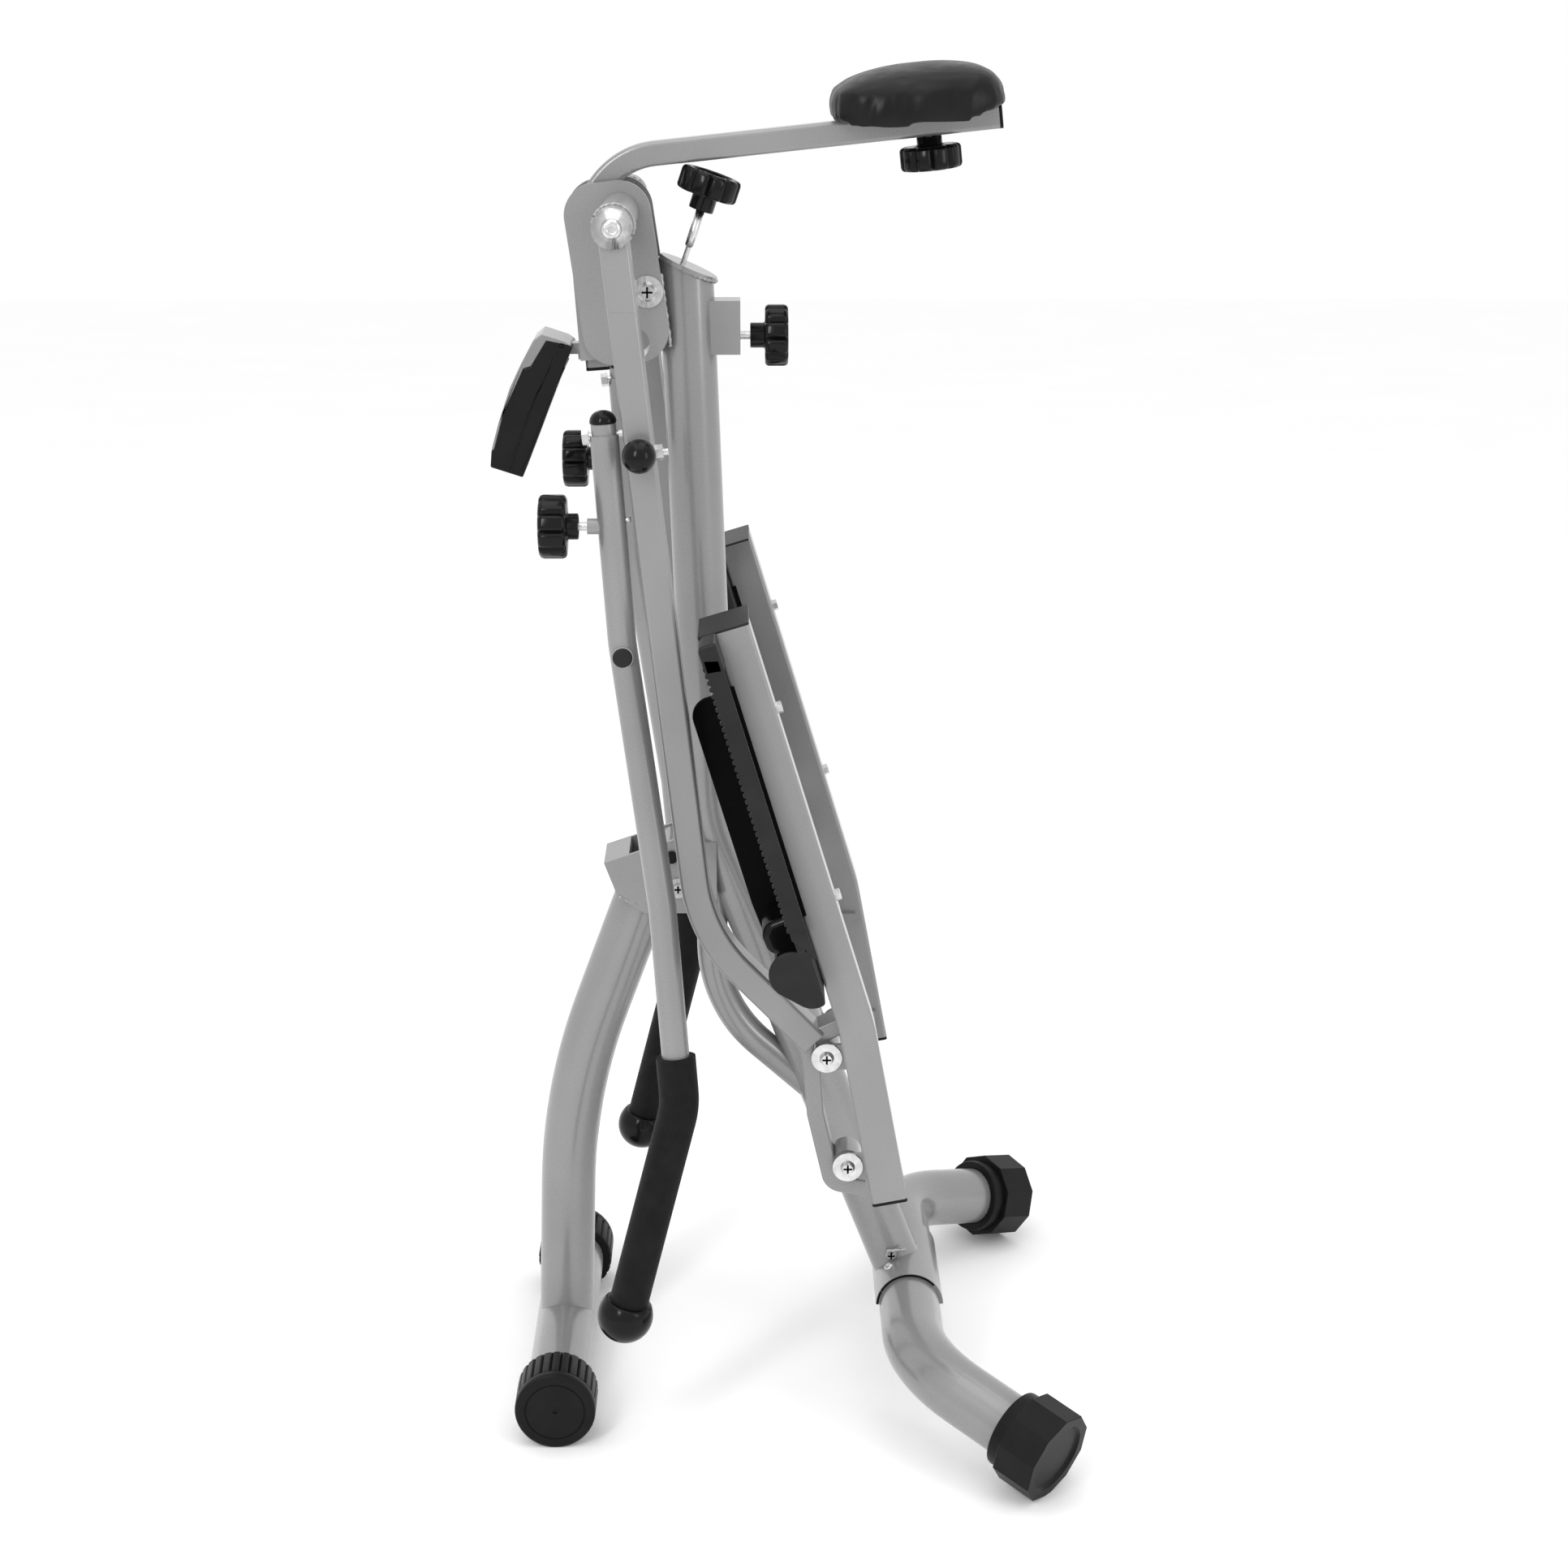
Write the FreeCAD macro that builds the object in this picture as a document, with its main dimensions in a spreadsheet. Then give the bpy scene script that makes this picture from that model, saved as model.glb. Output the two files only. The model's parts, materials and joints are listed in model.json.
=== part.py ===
import FreeCAD, Part
import Sketcher
import math
import os

# Folded vertical climber: a bent main post on a swept rear foot and a folding
# front leg, two hanging swing arms with fold-up pedal rails, stored handlebars,
# a body pad on a goose-neck arm and a small console.
# X runs from the front (console side, -X) to the rear, Y across the machine
# with the user's left at -Y, Z up. The origin is on the floor, under the
# middle of the whole machine.

Vec = FreeCAD.Vector
LEFT, RIGHT = -1, 1
SIDES = (("left", LEFT), ("right", RIGHT))
ALONG_Y = Vec(0, 1, 0)

doc = FreeCAD.newDocument("vertical_climber")
sheet = doc.addObject("Spreadsheet::Sheet", "Sizes")

SIZES = {
    # clearances
    "gap": 0.3, "run_gap": 0.05,
    # the hinge datum used below lies this far in front of the machine's middle
    "middle_x": 3.4,
    # frame tubes
    "post_radius": 25.0, "post_wall": 2.0, "post_bend": 150.0,
    "cap_radius": 28.0, "cap_thick": 4.0, "cap_tilt": 23.5,
    "brace_radius": 15.0, "brace_wall": 1.5, "brace_bend": 140.0,
    "foot_radius": 30.0, "foot_wall": 2.0, "foot_bend": 120.0,
    "saddle_radius": 33.5, "saddle_half": 64.0,
    "bolt_radius": 5.0, "bolt_head": 6.8, "bolt_head_height": 4.5, "washer_thick": 2.0,
    # floor caps
    "rear_cap_radius": 45.0, "rear_cap_length": 54.0, "rear_cap_end": 7.0, "rear_cap_sides": 10,
    "front_cap_radius": 38.7, "front_cap_length": 50.0, "front_cap_end": 6.0,
    "front_cap_flat": 0.0, "rib_radius": 2.4, "rib_count": 26,
    # front leg
    "leg_radius": 27.0, "leg_wall": 2.0, "leg_bend": 600.0,
    "stabiliser_radius": 30.0, "stabiliser_wall": 2.0, "stabiliser_half": 184.0,
    "cheek_thick": 4.0, "lug_radius": 14.0, "hinge_x": -103.0, "hinge_z": 512.0,
    "lock_x": -109.0, "lock_z": 543.0, "lock_radius": 6.0,
    # top bracket
    "plate_thick": 4.0, "plate_inner": 25.0, "plate_corner": 29.0,
    "shaft_x": -149.0, "shaft_z": 1151.0, "shaft_radius": 8.0, "shaft_half": 185.0,
    "shaft_washer": 17.5, "shaft_washer_thick": 3.0, "dome_radius": 8.5, "dome_height": 5.0,
    "cross_x": -139.0, "cross_z": 1033.0, "cross_radius": 18.0, "cross_wall": 2.5,
    "clamp_bolt_x": -125.0, "clamp_bolt_z": 1080.0, "clamp_washer": 14.5, "clamp_head": 9.0,
    "web_width": 22.5, "web_height": 40.0, "web_z": 1056.0,
    # star knobs
    "knob_radius": 28.0, "knob_depth": 22.0, "knob_hub_radius": 11.5, "knob_hub_depth": 13.0,
    "knob_lobe": 4.2, "knob_lobes": 10, "knob_stud": 4.0,
    "handle_hub_depth": 9.5, "handle_knob_depth": 25.0, "pad_hub_depth": 7.5,
    "box_length": 29.0, "box_width": 30.0, "box_height": 49.0, "box_z": 1021.0, "box_right": -41.0,
    "side_knob_z": 1037.0,
    # pad arm and pad
    "pad_tube": 22.0, "pad_tube_wall": 1.5, "pad_tube_corner": 4.0, "pad_tube_bend": 70.0,
    "guide_wall": 3.2, "guide_height": 108.0, "guide_z": 1018.0,
    "plug_thick": 3.0, "pad_x": 121.0, "pad_length": 160.0, "pad_width": 156.0, "pad_height": 52.0,
    "pad_drop": 6.0, "pad_corner": 22.0, "board_length": 126.0, "board_width": 120.0,
    "board_thick": 6.0, "slot_length": 100.0, "pad_stud_offset": 7.7,
    # console
    "console_pivot_x": -203.5, "console_pivot_z": 1026.0, "console_half": 30.0,
    "console_pin": 3.0, "tongue_half": 8.0, "ear_thick": 5.0,
    # swing arms
    "arm_y": 170.0, "arm_width": 26.0, "arm_depth": 30.0, "arm_wall": 1.8, "arm_corner": 3.5,
    "arm_bend": 150.0, "hub_radius": 17.3, "hub_inner_y": 29.5,
    "yoke_width": 16.0, "yoke_inner_y": 150.0, "yoke_outer_y": 181.0, "yoke_bend": 12.0,
    "boss_radius": 14.0, "lock_bolt_x": 36.0, "lock_bolt_z": 399.0,
    "fold_bolt_x": 56.0, "fold_bolt_z": 290.0,
    # pedal rails
    "rail_y": 202.0, "rail_width": 33.0, "rail_depth": 30.0, "rail_wall": 1.8, "rail_corner": 3.0,
    "rail_bend": 150.0, "ear_half": 12.0,
    "plate_half": 56.0, "tray_thick": 11.5, "tray_length": 337.5, "cover_thick": 2.0,
    "lip_height": 13.5, "lip_length": 26.0, "flange_start": 48.5, "flange_length": 222.0,
    "flange_thick": 2.5, "flange_reach": 4.5, "wall_height": 46.0, "wall_thick": 6.0,
    "wall_start": 68.5, "wall_length": 262.0, "wall_corner": 18.0, "cup_radius": 22.0,
    "cup_out": 20.0, "cup_down": 307.5, "heel_radius": 19.5, "heel_out": 7.5,
    "heel_down": 324.5, "cup_wall": 5.0,
    "nut_radius": 5.5, "nut_height": 5.0,
    # handlebars
    "handle_radius": 12.7, "handle_wall": 1.4, "grip_bend": 80.0,
    "stub_radius": 11.0, "stub_wall": 1.5, "stub_top_z": 984.0, "stub_length": 180.0,
    "stub_dome": 11.0, "link_bolt_z": 973.0, "link_bolt_radius": 3.5, "arm_nut_z": 956.0,
    "arm_nut_radius": 7.2, "grip_radius": 18.2, "grip_top_z": 412.0,
    "mushroom_radius": 26.0, "handle_knob_z": 893.0, "ball_radius": 15.0, "ball_z": 960.0,
    "ball_stem": 18.0,
}

# Routes are lists of corner points: (x, z) pairs in the plane of each piece.
ROUTES = {
    "post_route": ((-92.1, 1140), (-71.8, 577), (120, 85)),
    "brace_route": ((-72, 545), (-70, 381), (45, 278)),
    "foot_route": ((123, 85), (248, 41.5)),
    "leg_route": ((-135.5, 502), (-214, 291), (-222, 38)),
    "pad_route": ((-172, 1009.3), (-185, 1193.6), (192.2, 1233.6)),
    "arm_route": ((-149, 1151), (-79, 518.6), (24, 411.6)),
    "yoke_route": ((56, 431), (21, 413), (26, 340), (42, 270), (72, 265)),
    "rail_route": ((-49.7, 810.4), (62.4, 439), (94, 268)),
    "plate_outline": ((-203, 1173), (-125, 1182), (-102, 1020), (-180, 1010)),
    "cheek_outline": ((-174, 537), (-107, 560), (-89, 560), (-89, 486), (-135, 486), (-161, 502)),
    "web_outline": ((-174, 537), (-150, 545.2), (-148.7, 541.4), (-168.7, 534.6),
                    (-157.2, 503.4), (-161, 502)),
    "console_back": ((-217.4, 1036), (-195.8, 1031.5), (-194.2, 1029.5), (-242, 910.5),
                     (-271.5, 920.1), (-270.1, 936.2), (-267.5, 936.2), (-257.9, 970.5),
                     (-238.8, 1010.8), (-231.7, 1012.9)),
    "console_front": ((-222.1, 1041.9), (-200.7, 1034.8), (-195.8, 1031.5), (-217.4, 1036),
                      (-231.7, 1012.9), (-238.8, 1010.8), (-257.9, 970.5), (-267.5, 936.2),
                      (-270.1, 936.2), (-262.9, 961.4), (-251.9, 992.7), (-240.8, 1015.4),
                      (-229.5, 1036)),
}
HANDLE_Y = (172.0, 172.0, 199.0, 220.0, 223.0)
HANDLE_XZ = ((-159.0, 974.0), (-146.3, 788.0), (-113.0, 550.0), (-98.5, 366.0), (-148.0, 171.0))
FOOT_CORNER_Y = 183.0
FOOT_END_Y = 289.0


def fill_sheet():
    """Write every driving dimension as a plain number with an alias."""
    row = 1
    entries = list(SIZES.items())
    for name, points in ROUTES.items():
        for number, (x, z) in enumerate(points, 1):
            entries.append((f"{name}_x{number}", x))
            entries.append((f"{name}_z{number}", z))
    for number, ((x, z), y) in enumerate(zip(HANDLE_XZ, HANDLE_Y), 1):
        entries.append((f"handle_route_x{number}", x))
        entries.append((f"handle_route_y{number}", y))
        entries.append((f"handle_route_z{number}", z))
    entries.append(("foot_corner_y", FOOT_CORNER_Y))
    entries.append(("foot_end_y", FOOT_END_Y))
    for alias, number in entries:
        sheet.set(f"A{row}", alias)
        sheet.set(f"B{row}", str(number))
        sheet.setAlias(f"B{row}", alias)
        row += 1
    doc.recompute()


fill_sheet()


def size(alias):
    return float(sheet.get(alias))


def route(name, y=0.0):
    """Corner points of a route as vectors at the given Y."""
    count = len(ROUTES[name])
    return [Vec(size(f"{name}_x{i}"), y, size(f"{name}_z{i}")) for i in range(1, count + 1)]


def place(origin, axis=Vec(0, 0, 1)):
    """A placement at origin whose local Z points along axis."""
    return FreeCAD.Placement(origin, FreeCAD.Rotation(Vec(0, 0, 1), axis))


# ---------------------------------------------------------------- primitives

def bound(kind, name, placement, **expressions):
    """A Part primitive whose properties are bound to the sheet."""
    thing = doc.addObject(kind, name)
    for prop, expression in expressions.items():
        thing.setExpression(prop, expression)
    thing.Placement = placement
    return thing


def cylinder(name, origin, axis, radius, height):
    return bound("Part::Cylinder", name, place(origin, axis), Radius=radius, Height=height)


def box(name, placement, length, width, height):
    return bound("Part::Box", name, placement, Length=length, Width=width, Height=height)


def fuse(name, pieces):
    joined = doc.addObject("Part::MultiFuse", name)
    joined.Shapes = pieces
    return joined


def cut(name, base, tools):
    tool = tools[0] if len(tools) == 1 else fuse(name + "_tools", tools)
    result = doc.addObject("Part::Cut", name)
    result.Base = base
    result.Tool = tool
    return result


def group(name, pieces):
    """Separate solids that share one node."""
    together = doc.addObject("Part::Compound", name)
    together.Links = pieces
    return together


def shape(name, solid):
    feature = doc.addObject("Part::Feature", name)
    feature.Shape = solid
    return feature


def node(thing, label):
    """Mark an object as a finished sub-part."""
    thing.Label = label
    NODES.append(thing)
    return thing


NODES = []

# ------------------------------------------------------------- bent tubing


def smooth_path(points, radius):
    """A wire of straight runs joined by tangent arcs of one bend radius."""
    edges = []
    start = points[0]
    for before, corner, after in zip(points, points[1:], points[2:]):
        back = (before - corner).normalize()
        ahead = (after - corner).normalize()
        half_turn = (math.pi - back.getAngle(ahead)) / 2
        reach = radius * math.tan(half_turn)
        bisector = (back + ahead).normalize()
        centre = corner + bisector * (radius / math.cos(half_turn))
        first = corner + back * reach
        last = corner + ahead * reach
        middle = centre - bisector * radius
        edges.append(Part.LineSegment(start, first).toShape())
        edges.append(Part.Arc(first, middle, last).toShape())
        start = last
    edges.append(Part.LineSegment(start, points[-1]).toShape())
    return Part.Wire(edges)


def round_section(path, radius):
    start = path.Edges[0]
    centre = start.valueAt(start.FirstParameter)
    direction = start.tangentAt(start.FirstParameter)
    return Part.Wire([Part.makeCircle(radius, centre, direction)])


def square_section(path, width, depth, corner):
    """A rounded rectangle, width in the path's XZ plane and depth along Y."""
    start = path.Edges[0]
    centre = start.valueAt(start.FirstParameter)
    across = ALONG_Y.cross(start.tangentAt(start.FirstParameter)).normalize()
    edges = []
    arms = ((1, 1), (-1, 1), (-1, -1), (1, -1))
    for turn, (a, b) in enumerate(arms):
        pivot = across * (a * (width / 2 - corner)) + ALONG_Y * (b * (depth / 2 - corner))
        along_width = across * (a * corner)
        along_depth = ALONG_Y * (b * corner)
        first, last = (along_width, along_depth) if turn % 2 == 0 else (along_depth, along_width)
        middle = (along_width + along_depth) * (1 / math.sqrt(2))
        corners = [centre + pivot + offset for offset in (first, middle, last)]
        edges.append(corners)
    wire = []
    for index, (first, middle, last) in enumerate(edges):
        wire.append(Part.Arc(first, middle, last).toShape())
        following = edges[(index + 1) % 4][0]
        wire.append(Part.LineSegment(last, following).toShape())
    return Part.Wire(wire)


def swept(path, section):
    return path.makePipe(Part.Face(section))


def round_rod(points, radius, bend):
    path = smooth_path(points, bend)
    return swept(path, round_section(path, radius))


def round_tube(points, radius, wall, bend):
    return round_rod(points, radius, bend).cut(round_rod(points, radius - wall, bend))


def square_rod(points, width, depth, corner, bend):
    path = smooth_path(points, bend)
    return swept(path, square_section(path, width, depth, corner))


def square_tube(points, width, depth, corner, wall, bend):
    outer = square_rod(points, width, depth, corner, bend)
    inner_corner = corner - wall
    return outer.cut(square_rod(points, width - 2 * wall, depth - 2 * wall, inner_corner, bend))


# ------------------------------------------------------------- plate bodies

def plane_of(body, role):
    return next(f for f in body.Origin.OriginFeatures if f.Role == role)


def plate(name, outline, thickness, far_y, corner=None):
    """A flat plate in the XZ plane, from far_y towards -Y, with a bound outline."""
    body = doc.addObject("PartDesign::Body", name)
    sketch = body.newObject("Sketcher::SketchObject", name + "_sketch")
    sketch.AttachmentSupport = (plane_of(body, "XZ_Plane"), "")
    sketch.MapMode = "FlatFace"
    points = route(outline)
    count = len(points)
    for index in range(count):
        here = points[index]
        there = points[(index + 1) % count]
        sketch.addGeometry(Part.LineSegment(Vec(here.x, here.z, 0), Vec(there.x, there.z, 0)))
    for index in range(count):
        sketch.addConstraint(Sketcher.Constraint("Coincident", index, 2, (index + 1) % count, 1))
    for index in range(count):
        for axis, kind in (("x", "DistanceX"), ("z", "DistanceY")):
            value = points[index].x if axis == "x" else points[index].z
            label = f"{axis}{index + 1}"
            number = sketch.addConstraint(Sketcher.Constraint(kind, -1, 1, index, 1, value))
            sketch.renameConstraint(number, label)
            sketch.setExpression(f"Constraints.{label}", f"Sizes.{outline}_{label}")
    pad = body.newObject("PartDesign::Pad", name + "_pad")
    pad.Profile = sketch
    pad.setExpression("Length", thickness)
    body.Placement = FreeCAD.Placement(Vec(0, far_y, 0), FreeCAD.Rotation())
    doc.recompute()
    if corner:
        upright = [f"Edge{i}" for i, edge in enumerate(pad.Shape.Edges, 1)
                   if abs(edge.tangentAt(edge.FirstParameter).y) > 0.99]
        fillet = body.newObject("PartDesign::Fillet", name + "_fillet")
        fillet.Base = (pad, upright)
        fillet.setExpression("Radius", corner)
        doc.recompute()
    return body


# ---------------------------------------------------------------- fasteners

def cross_bolt(name, x, z, head_y, tail_y, washer, head="Sizes.bolt_head"):
    """A bolt along Y: shank, washer and a pan head outside head_y."""
    outward = 1 if head_y > tail_y else -1
    axis = Vec(0, outward, 0)
    start = Vec(x, tail_y, z)
    shank = bound("Part::Cylinder", name + "_shank", place(start, axis),
                  Radius="Sizes.bolt_radius", Height=f"{abs(head_y - tail_y)}")
    ring = cylinder(name + "_washer", Vec(x, head_y, z), axis, washer, "Sizes.washer_thick")
    top = Vec(x, head_y + outward * size("washer_thick"), z)
    pan = bound("Part::Cone", name + "_head", place(top, axis), Radius1=head,
                Radius2=f"{head} * 0.7", Height="Sizes.bolt_head_height")
    return fuse(name, [shank, ring, pan])


def star_knob(name, origin, axis, stud_length, hub="knob_hub_depth", depth="knob_depth"):
    """A star knob seen from its clamped face: stud tip at -stud_length, then hub and head."""
    start = origin - axis * stud_length
    stud = bound("Part::Cylinder", name + "_stud", place(start, axis),
                 Radius="Sizes.knob_stud", Height=f"{stud_length} + Sizes.{hub}")
    neck = cylinder(name + "_hub", origin, axis, "Sizes.knob_hub_radius", f"Sizes.{hub} + 1")
    base = origin + axis * size(hub)
    head = cylinder(name + "_disc", base, axis, "Sizes.knob_radius", f"Sizes.{depth}")
    turned = place(base, axis)
    grooves = []
    lobes = int(size("knob_lobes"))
    for lobe in range(lobes):
        angle = 2 * math.pi * lobe / lobes
        rim = Vec(size("knob_radius") * math.cos(angle), size("knob_radius") * math.sin(angle), 0)
        groove = bound("Part::Cylinder", f"{name}_groove{lobe}",
                       place(turned.multVec(rim), axis),
                       Radius="Sizes.knob_lobe", Height=f"Sizes.{depth}")
        grooves.append(groove)
    lobed = cut(name + "_head", head, grooves)
    return fuse(name, [stud, neck, lobed])


# -------------------------------------------------------------------- frame

post_points = route("post_route")
post_rod = round_rod(post_points, size("post_radius"), size("post_bend"))
brace_rod = round_rod(route("brace_route"), size("brace_radius"), size("brace_bend"))


def foot_points():
    corner, end = route("foot_route")
    corner_y = size("foot_corner_y")
    end_y = size("foot_end_y")
    return [Vec(end.x, -end_y, end.z), Vec(corner.x, -corner_y, corner.z),
            Vec(corner.x, corner_y, corner.z), Vec(end.x, end_y, end.z)]


def foot_end_axis(side):
    ends = foot_points()
    last, corner = (ends[0], ends[1]) if side == LEFT else (ends[3], ends[2])
    return last, (last - corner).normalize()


foot_rod = round_rod(foot_points(), size("foot_radius"), size("foot_bend"))
CAP_AXIS = Vec(math.sin(math.radians(size("cap_tilt"))), 0, math.cos(math.radians(size("cap_tilt"))))
POST_TOP = Vec(-89.1, 0, 1097)


def build_post():
    tube = round_tube(post_points, size("post_radius"), size("post_wall"), size("post_bend"))
    raw = shape("post_raw", tube)
    level = FreeCAD.Placement(POST_TOP, FreeCAD.Rotation(ALONG_Y, size("cap_tilt")))
    above = local_box("post_trim", level, Vec(-60, -60, 0), "120", "120", "90")
    saddle_seat = shape("post_foot_seat", foot_rod)
    bolt = saddle_bolt_tool("post_bolt_hole")
    node(cut("post", raw, [above, saddle_seat, bolt]), "main_post")
    lid = cylinder("cap_disc", POST_TOP, CAP_AXIS, "Sizes.cap_radius", "Sizes.cap_thick")
    hole = post_knob_hole()
    node(cut("cap", lid, [hole]), "post_cap")


KNOB_FOOT = Vec(-93.5, 0, 1101)
KNOB_AXIS = Vec(24, 0, 70).normalize()
SADDLE_BOLT = Vec(106.0, 0, 122)


def post_knob_hole():
    return bound("Part::Cylinder", "cap_hole", place(KNOB_FOOT - KNOB_AXIS * 20, KNOB_AXIS),
                 Radius="2.6 + Sizes.run_gap", Height="40")


def saddle_bolt_tool(name):
    return bound("Part::Cylinder", name, place(SADDLE_BOLT - ALONG_Y * 40, ALONG_Y),
                 Radius="Sizes.bolt_radius", Height="80")


def build_brace():
    tube = round_tube(route("brace_route"), size("brace_radius"), size("brace_wall"),
                      size("brace_bend"))
    raw = shape("brace_raw", tube)
    post = shape("brace_post_seat", post_rod)
    node(cut("brace", raw, [post]), "lower_brace")


def build_foot():
    ends = foot_points()
    trim = size("rear_cap_end")
    for index, inner in ((0, 1), (3, 2)):
        ends[index] = ends[index] - (ends[index] - ends[inner]).normalize() * trim
    tube = round_tube(ends, size("foot_radius"), size("foot_wall"), size("foot_bend"))
    node(shape("foot", tube), "rear_foot")
    caps = []
    for word, side in SIDES:
        end, axis = foot_end_axis(side)
        start = end - axis * size("rear_cap_length")
        level = place(start, axis)
        prism = bound("Part::Prism", f"{word}_rear_prism", level,
                      Circumradius="Sizes.rear_cap_radius", Height="Sizes.rear_cap_length")
        prism.Polygon = int(size("rear_cap_sides"))
        bore = shape(f"{word}_rear_bore", round_rod(ends, size("foot_radius"), size("foot_bend")))
        floor = box(f"{word}_rear_floor", FreeCAD.Placement(Vec(end.x - 100, end.y - 100, -40),
                    FreeCAD.Rotation()), "200", "200", "40")
        caps.append(cut(f"{word}_rear_cap", prism, [bore, floor]))
    node(group("rear_cap_pair", caps), "rear_caps")


def build_saddle():
    corner = foot_points()[1]
    half = size("saddle_half")
    pipe = cylinder("saddle_pipe", Vec(corner.x, -half, corner.z), ALONG_Y, "Sizes.saddle_radius",
                    "2 * Sizes.saddle_half")
    post = shape("saddle_post", post_rod)
    foot = shape("saddle_foot", foot_rod)
    under = box("saddle_under", FreeCAD.Placement(Vec(40, -90, 0), FreeCAD.Rotation()),
                "160", "180", "86")
    node(cut("saddle", pipe, [post, foot, under]), "foot_saddle")
    reach = size("post_radius")
    bolt = cross_bolt("saddle_screw", SADDLE_BOLT.x, SADDLE_BOLT.z, -reach, reach, "5.5", "4")
    node(bolt, "saddle_bolt")


def build_top_bracket():
    inner = size("plate_inner")
    thick = size("plate_thick")
    plates = []
    for word, side in SIDES:
        far_y = inner + thick if side == RIGHT else -inner
        blank = plate(f"{word}_bracket_blank", "plate_outline", "Sizes.plate_thick", far_y,
                      "Sizes.plate_corner")
        holes = []
        for hole, x, z, radius in (
                ("shaft", "shaft_x", "shaft_z", "Sizes.shaft_radius"),
                ("cross", "cross_x", "cross_z", "Sizes.cross_radius - Sizes.cross_wall"),
                ("clamp", "clamp_bolt_x", "clamp_bolt_z", "Sizes.bolt_radius")):
            start = Vec(size(x), -45, size(z))
            holes.append(cylinder(f"{word}_{hole}_hole", start, ALONG_Y, radius, "90"))
        plates.append(cut(f"{word}_bracket_plate", blank, holes))
    node(group("bracket_pair", plates), "bracket_plates")
    start = Vec(size("clamp_bolt_x") - 10, -inner, size("web_z"))
    web = box("web_block", FreeCAD.Placement(start, FreeCAD.Rotation()), "Sizes.web_width",
              "2 * Sizes.plate_inner", "Sizes.web_height")
    post = shape("web_post", post_rod)
    hole = cylinder("web_hole", Vec(size("clamp_bolt_x"), -45, size("clamp_bolt_z")), ALONG_Y,
                    "Sizes.bolt_radius", "90")
    node(cut("web", web, [post, hole]), "bracket_web")
    outer = cylinder("cross_outer", Vec(size("cross_x"), -inner, size("cross_z")), ALONG_Y,
                     "Sizes.cross_radius", "2 * Sizes.plate_inner")
    bore = cylinder("cross_bore", Vec(size("cross_x"), -inner, size("cross_z")), ALONG_Y,
                    "Sizes.cross_radius - Sizes.cross_wall", "2 * Sizes.plate_inner")
    node(cut("cross", outer, [bore]), "bracket_cross_tube")
    face = inner + thick
    near = cross_bolt("clamp_near", size("clamp_bolt_x"), size("clamp_bolt_z"), -face, 0,
                      "Sizes.clamp_washer", "Sizes.clamp_head")
    far = cross_bolt("clamp_far", size("clamp_bolt_x"), size("clamp_bolt_z"), face, 0,
                     "Sizes.clamp_washer", "Sizes.clamp_head")
    node(fuse("clamp_bolt", [near, far]), "bracket_bolt")
    half = size("shaft_half")
    shaft = cylinder("main_shaft", Vec(size("shaft_x"), -half, size("shaft_z")), ALONG_Y,
                     "Sizes.shaft_radius", "2 * Sizes.shaft_half")
    node(shaft, "pivot_shaft")
    screws = []
    for word, side in SIDES:
        axis = Vec(0, side, 0)
        start = Vec(size("shaft_x"), side * half, size("shaft_z"))
        ring = cylinder(f"{word}_shaft_ring", start, axis, "Sizes.shaft_washer",
                        "Sizes.shaft_washer_thick")
        dome = bound("Part::Cone", f"{word}_shaft_dome",
                     place(start + axis * size("shaft_washer_thick"), axis),
                     Radius1="Sizes.dome_radius", Radius2="Sizes.dome_radius * 0.55",
                     Height="Sizes.dome_height")
        screws.append(fuse(f"{word}_shaft_screw", [ring, dome]))
    node(group("shaft_screw_pair", screws), "shaft_screws")


PAD_BOTTOM, PAD_CORNER, PAD_END = route("pad_route")
PAD_UP = (PAD_CORNER - PAD_BOTTOM).normalize()
PAD_OUT = (PAD_END - PAD_CORNER).normalize()
PAD_NORMAL = Vec(-PAD_OUT.z, 0, PAD_OUT.x)


def pad_frame(distance):
    """A placement on the pad arm's top face: local X along the arm, Z out of it."""
    along = (distance - PAD_CORNER.x) / PAD_OUT.x
    centre = PAD_CORNER + PAD_OUT * along + PAD_NORMAL * (size("pad_tube") / 2)
    turn = FreeCAD.Rotation(ALONG_Y, -math.degrees(math.atan2(PAD_OUT.z, PAD_OUT.x)))
    return FreeCAD.Placement(centre, turn)


def local_box(name, frame, corner, length, width, height):
    spot = frame.multiply(FreeCAD.Placement(corner, FreeCAD.Rotation()))
    return box(name, spot, length, width, height)


def guide_frame():
    lean = math.degrees(math.atan2(PAD_UP.x, PAD_UP.z))
    height = (size("guide_z") - PAD_BOTTOM.z) / PAD_UP.z
    return FreeCAD.Placement(PAD_BOTTOM + PAD_UP * height, FreeCAD.Rotation(ALONG_Y, lean))


def build_guide():
    inner = size("plate_inner")
    frame = guide_frame()
    half = size("pad_tube") / 2 + size("guide_wall")
    outer = local_box("guide_outer", frame, Vec(-half, -inner, 0),
                      "Sizes.pad_tube + 2 * Sizes.guide_wall", "2 * Sizes.plate_inner",
                      "Sizes.guide_height")
    clear = size("pad_tube") / 2 + size("gap")
    hollow = local_box("guide_hollow", frame, Vec(-clear, -clear, -5),
                       "Sizes.pad_tube + 2 * Sizes.gap", "Sizes.pad_tube + 2 * Sizes.gap",
                       "Sizes.guide_height + 10")
    node(cut("guide", outer, [hollow]), "pad_arm_guide")


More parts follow.
